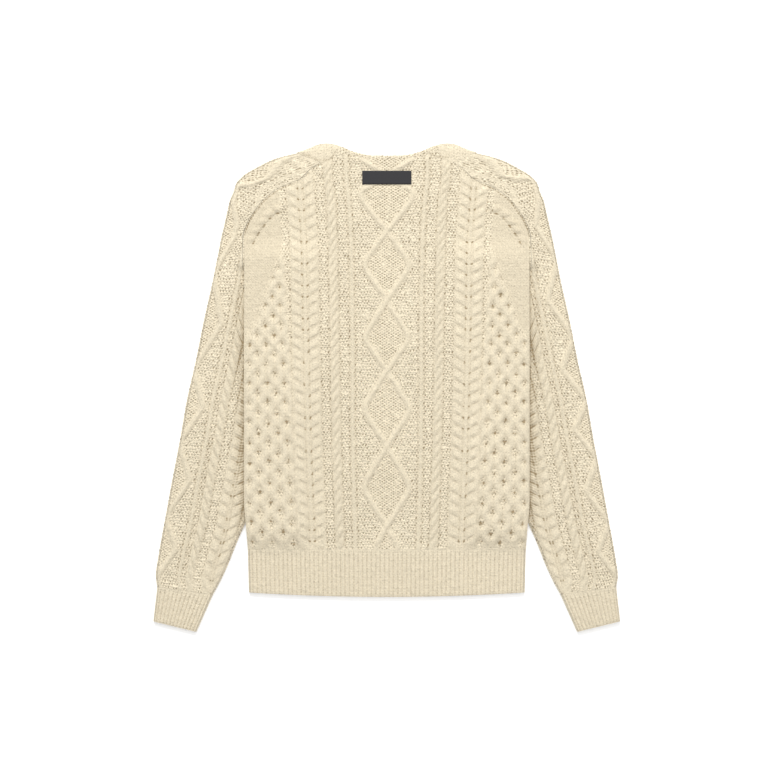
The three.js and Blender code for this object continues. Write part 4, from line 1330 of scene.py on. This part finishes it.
def wool_material(colours):
    """Cream wool: knit, purl and moss stitches from the stitch count, with a fibrous nap, painted
    shade in its recesses and gaps, and a painted highlight on its crests
    """
    g = Graph("cream_wool_knit")
    place = g.node("ShaderNodeTexCoord").outputs["Object"]
    count = g.node("ShaderNodeUVMap", uv_map="stitches").outputs[0]
    split = g.node("ShaderNodeSeparateXYZ", {0: count})
    knit, moss, hollow = g.mark("knit"), g.mark("moss"), g.mark("hollow")

    # Stitches wander a little from their count, most of all the purl ones
    drift = g.minus(g.noise(place, 140.0, 1.0), 0.5)
    loose = g.mixed(g.math("MAXIMUM", knit, moss), 1.7, 0.6)
    u = g.plus(split.outputs[0], g.times(drift, 0.7))
    v = g.plus(split.outputs[1], g.times(drift, loose))

    # Height inside one stitch: two legs that lean together, purl bars in brick order, moss beads
    centre = g.times(g.math("ABSOLUTE", g.minus(g.math("FRACT", u), 0.5)), 2.0)
    leg = g.wave(g.minus(v, g.times(centre, 0.55)))
    gutter = g.times(g.power(centre, 5.0), 0.8)
    split_line = g.times(g.power(g.minus(1.0, centre), 9.0), 0.5)
    body = g.minus(g.minus(1.0, gutter), split_line)
    knit_high = g.times(g.plus(g.times(leg, 0.6), 0.4), body)
    row = g.math("FLOOR", g.plus(v, 0.5))
    shifted = g.plus(u, g.times(g.math("MODULO", row, 2.0), 0.5))
    purl_high = g.wave(g.plus(v, g.times(g.wave(shifted), 0.3)))
    beads = [g.math("COSINE", g.times(way, np.pi)) for way in (u, v)]
    moss_high = g.times(g.plus(g.times(*beads), 1.0), 0.5)
    high = g.mixed(knit, g.mixed(moss, purl_high, moss_high), knit_high)

    # Gaps between purl and moss stitches, each of its own strength, sunk in the bump and darkened
    # with painted shade
    column = g.math("FLOOR", g.plus(shifted, 0.5))
    stitch = g.node("ShaderNodeCombineXYZ", {0: column, 1: row, 2: 0.0}).outputs[0]
    chance = g.node("ShaderNodeTexWhiteNoise", {"Vector": stitch}, noise_dimensions="3D").outputs[0]
    between = g.power(g.wave(shifted), 1.6)
    purl_low = g.times(g.power(g.minus(1.0, purl_high), 1.3), between)
    purl_low = g.times(g.times(purl_low, 1.5), g.power(chance, 0.7))
    crossed = g.times(g.minus(g.wave(g.times(u, 0.667)), 0.5), g.minus(g.wave(v), 0.5))
    moss_low = g.math("MAXIMUM", g.times(crossed, 7.0), 0.0)
    moss_low = g.times(moss_low, g.plus(0.3, g.times(chance, 0.7)))
    shown = g.minus(1.0, g.times(knit, 0.8))
    gap_depth_and_shade = g.times(g.mixed(moss, purl_low, moss_low), shown)

    # Relief of stitches, yarn and fibres
    fibre = g.noise(place, 1300.0, 3.0, 0.65)
    yarn = g.noise(place, 430.0, 2.0, 0.6)
    nap = g.plus(g.times(fibre, 0.4), g.times(yarn, 0.6))
    uneven = g.noise(place, 115.0, 2.0, 0.5)
    relief = g.plus(g.times(high, 0.45), nap)
    relief = g.plus(relief, g.times(uneven, 1.6))
    relief = g.minus(relief, g.times(gap_depth_and_shade, 0.5))
    bump = g.node("ShaderNodeBump", {"Strength": 0.9, "Distance": 0.0014, "Height": relief})

    # Tone of the wool, with a painted highlight that makes the crests of the stitches lighter, and
    # flecked with the nap
    tone = g.plus(0.965, g.times(g.noise(place, 9.0, 2.0), 0.07))
    tone = g.times(tone, g.plus(g.mixed(knit, 0.94, 0.90), g.times(high, 0.12)))
    fleck = g.mixed(knit, 1.55, 0.95)
    tone = g.times(tone, g.plus(1.0, g.times(g.minus(nap, 0.5), fleck)))
    base = g.toned(colours.wool, tone)

    # Painted shade in the recesses: soft and striped by the rows of stitches, with a sharp core
    # where they are deep
    patchy = g.plus(0.25, g.times(g.noise(place, 210.0, 1.0), 1.5))
    rows = g.plus(0.2, g.times(g.wave(v), 1.6))
    rows = g.mixed(g.part(hollow, 0.28, 0.5), 1.0, rows)
    soft = g.times(g.times(hollow, 0.5), rows)
    sharp = g.plus(soft, g.times(g.part(hollow, 0.5, 0.95), 0.55))
    deep = g.plus(g.times(sharp, patchy), g.times(gap_depth_and_shade, 0.8))
    deep = g.math("MINIMUM", g.times(deep, 0.85), 0.92)
    base = g.blend(deep, base, (*colours.hollow, 1))
    rough = g.plus(0.86, g.times(nap, 0.14))
    shader = g.node("ShaderNodeBsdfPrincipled", {
        "Base Color": base, "Roughness": rough, "Normal": bump.outputs[0],
        "Specular IOR Level": 0.18, "Sheen Weight": 0.18, "Sheen Roughness": 0.55,
        "Sheen Tint": (1.0, 0.96, 0.88, 1)})
    g.node("ShaderNodeOutputMaterial", {"Surface": shader.outputs[0]})
    return g.material


def patch_material(colours):
    """Charcoal tape with a close twill weave"""
    g = Graph("charcoal_tape")
    place = g.node("ShaderNodeTexCoord").outputs["Object"]
    split = g.node("ShaderNodeSeparateXYZ", {0: place})
    x, y = split.outputs[0], split.outputs[1]
    warp = g.wave(g.times(g.plus(x, g.times(y, 0.5)), 900.0))
    weft = g.wave(g.times(y, 1100.0))
    weave = g.times(g.plus(warp, weft), 0.5)
    lint = g.noise(place, 700.0, 3.0, 0.6)
    relief = g.plus(weave, g.times(lint, 0.5))
    bump = g.node("ShaderNodeBump", {"Strength": 0.6, "Distance": 0.0003, "Height": relief})
    # Painted highlight on the crests of the weave, as its relief lightens the tone, with random
    # tone from the lint
    base = g.toned(colours.patch, g.plus(0.72, g.times(relief, 0.36)))
    rough = g.plus(0.7, g.times(lint, 0.2))
    shader = g.node("ShaderNodeBsdfPrincipled", {
        "Base Color": base, "Roughness": rough, "Normal": bump.outputs[0],
        "Specular IOR Level": 0.3, "Sheen Weight": 0.1, "Sheen Roughness": 0.4})
    g.node("ShaderNodeOutputMaterial", {"Surface": shader.outputs[0]})
    return g.material


def floor_material(colours):
    """Plain pale floor with a faint unevenness"""
    g = Graph("pale_floor")
    place = g.node("ShaderNodeTexCoord").outputs["Object"]
    cloud = g.noise(place, 3.0, 2.0)
    base = g.toned(colours.floor, g.plus(0.995, g.times(cloud, 0.01)))
    shader = g.node("ShaderNodeBsdfPrincipled", {
        "Base Color": base, "Roughness": 0.9, "Specular IOR Level": 0.1,
        "Emission Color": (1.0, 1.0, 1.0, 1), "Emission Strength": 0.16})
    g.node("ShaderNodeOutputMaterial", {"Surface": shader.outputs[0]})
    return g.material


def wool(context):
    """The wool, made once for all the knitted pieces"""
    made = bpy.data.materials.get("cream_wool_knit")
    return made or wool_material(context.scene.pullover_colours)


# Operators, one for each piece or pair of pieces

class PULLOVER_OT_stage(bpy.types.Operator):
    """Sets the camera over the garment, the soft light and the pale floor"""

    bl_idname = "pullover.stage"
    bl_label = "Stage"

    def execute(self, context):
        stage = context.scene.pullover_stage
        camera = bpy.data.cameras.new("camera_above")
        camera.sensor_width = 36
        camera.lens = camera.sensor_width * stage.distance / stage.view_width
        eye = bpy.data.objects.new("camera_above", camera)
        eye.location = (stage.view_side, 0, stage.distance)
        context.scene.collection.objects.link(eye)
        context.scene.camera = eye
        mesh = bpy.data.meshes.new("floor")
        row = FLOOR_CELLS + 1
        ticks = [mix(-FLOOR_HALF, FLOOR_HALF, i / FLOOR_CELLS) for i in range(row)]
        spots = [(x, y, FLOOR_LEVEL) for y in ticks for x in ticks]
        faces = [(j * row + i, j * row + i + 1, (j + 1) * row + i + 1, (j + 1) * row + i)
                 for j in range(FLOOR_CELLS) for i in range(FLOOR_CELLS)]
        mesh.from_pydata(spots, [], faces)
        mesh.materials.append(floor_material(context.scene.pullover_colours))
        floor = bpy.data.objects.new("floor", mesh)
        context.scene.collection.objects.link(floor)
        for name, place, power, width in (
            ("key_light", (-0.4, 3.6, 3.0), stage.key, 1.7),
            ("fill_light", (0.5, 0.3, 3.2), stage.key * 0.22, 2.4),
        ):
            light = bpy.data.lights.new(name, "AREA")
            light.energy = power
            light.size = width
            lamp = bpy.data.objects.new(name, light)
            lamp.location = place
            toward = Vector((0, 0, 0)) - Vector(place)
            lamp.rotation_euler = toward.to_track_quat("-Z", "Y").to_euler()
            context.scene.collection.objects.link(lamp)
        world = bpy.data.worlds.new("soft_sky")
        world.use_nodes = True
        sky = world.node_tree.nodes["Background"]
        sky.inputs["Color"].default_value = (1, 1, 1, 1)
        sky.inputs["Strength"].default_value = stage.sky
        context.scene.world = world
        context.scene.view_settings.view_transform = "Standard"
        return {"FINISHED"}


class PULLOVER_OT_body(bpy.types.Operator):
    """Knits the back with its cables and the plain front under it"""

    bl_idname = "pullover.body"
    bl_label = "Back and front"

    def execute(self, context):
        size = sizes_in_mm(context)
        build_back(size, wool(context))
        build_front(size, wool(context))
        return {"FINISHED"}


class PULLOVER_OT_sleeves(bpy.types.Operator):
    """Knits both sleeves, folded flat along the sides"""

    bl_idname = "pullover.sleeves"
    bl_label = "Sleeves"

    def execute(self, context):
        size = sizes_in_mm(context)
        for side in (-1, 1):
            build_sleeve(size, side, wool(context))
        return {"FINISHED"}


class PULLOVER_OT_ribs(bpy.types.Operator):
    """Knits the ribbed hem and both cuffs"""

    bl_idname = "pullover.ribs"
    bl_label = "Hem and cuffs"

    def execute(self, context):
        size = sizes_in_mm(context)
        build_hem(size, wool(context))
        for side in (-1, 1):
            build_cuff(size, side, wool(context))
        return {"FINISHED"}


class PULLOVER_OT_neck(bpy.types.Operator):
    """Knits the trim of the neck, back and front"""

    bl_idname = "pullover.neck"
    bl_label = "Neck trim"

    def execute(self, context):
        size = sizes_in_mm(context)

        def outer(far):
            return curve(TRIM_EDGE, far)

        def neck(far):
            return np.where(far < NECK_POINT, line(FRONT_NECK, far), top_at(far))

        def band(far):
            steep = neck(far + 0.5) - neck(far - 0.5)
            narrow = np.minimum(neck(far) + 6 * np.hypot(1, steep), outer(far))
            return np.where(far < NECK_POINT, narrow, outer(far))

        material = wool(context)
        build_trim(size, "neck_trim_back", top_at, outer, size.layer, size.pile, True, material)
        build_trim(size, "neck_trim_front", neck, band, 0, size.cloth, False, material)
        return {"FINISHED"}


class PULLOVER_OT_patch(bpy.types.Operator):
    """Cuts the bare charcoal patch at the back of the neck"""

    bl_idname = "pullover.patch"
    bl_label = "Patch"

    def execute(self, context):
        piece = build_patch(sizes_in_mm(context), patch_material(context.scene.pullover_colours))
        return {"FINISHED"}


class PULLOVER_PT_panel(bpy.types.Panel):
    """Sizes, colours and the pieces of the pullover"""

    bl_idname = "PULLOVER_PT_panel"
    bl_label = "Cable knit pullover"
    bl_space_type = "VIEW_3D"
    bl_region_type = "UI"
    bl_category = "Pullover"

    def draw(self, context):
        layout = self.layout
        for group in (context.scene.pullover_sizes, context.scene.pullover_colours,
                      context.scene.pullover_stage):
            column = layout.column()
            for name in group.__annotations__:
                column.prop(group, name)
        for operator in OPERATORS:
            layout.operator(operator.bl_idname)


GROUPS = (PulloverSizes, PulloverColours, PulloverStage)
OPERATORS = (
    PULLOVER_OT_stage, PULLOVER_OT_body, PULLOVER_OT_sleeves, PULLOVER_OT_ribs,
    PULLOVER_OT_neck, PULLOVER_OT_patch,
)


def register():
    for part in (*GROUPS, *OPERATORS, PULLOVER_PT_panel):
        bpy.utils.register_class(part)
    bpy.types.Scene.pullover_sizes = PointerProperty(type=PulloverSizes)
    bpy.types.Scene.pullover_colours = PointerProperty(type=PulloverColours)
    bpy.types.Scene.pullover_stage = PointerProperty(type=PulloverStage)


def unregister():
    del bpy.types.Scene.pullover_stage
    del bpy.types.Scene.pullover_colours
    del bpy.types.Scene.pullover_sizes
    for part in (PULLOVER_PT_panel, *reversed(OPERATORS), *reversed(GROUPS)):
        bpy.utils.unregister_class(part)


def main():
    register()
    bpy.ops.pullover.stage()
    bpy.ops.pullover.body()
    bpy.ops.pullover.sleeves()
    bpy.ops.pullover.ribs()
    bpy.ops.pullover.neck()
    bpy.ops.pullover.patch()


if __name__ == "__main__":
    main()
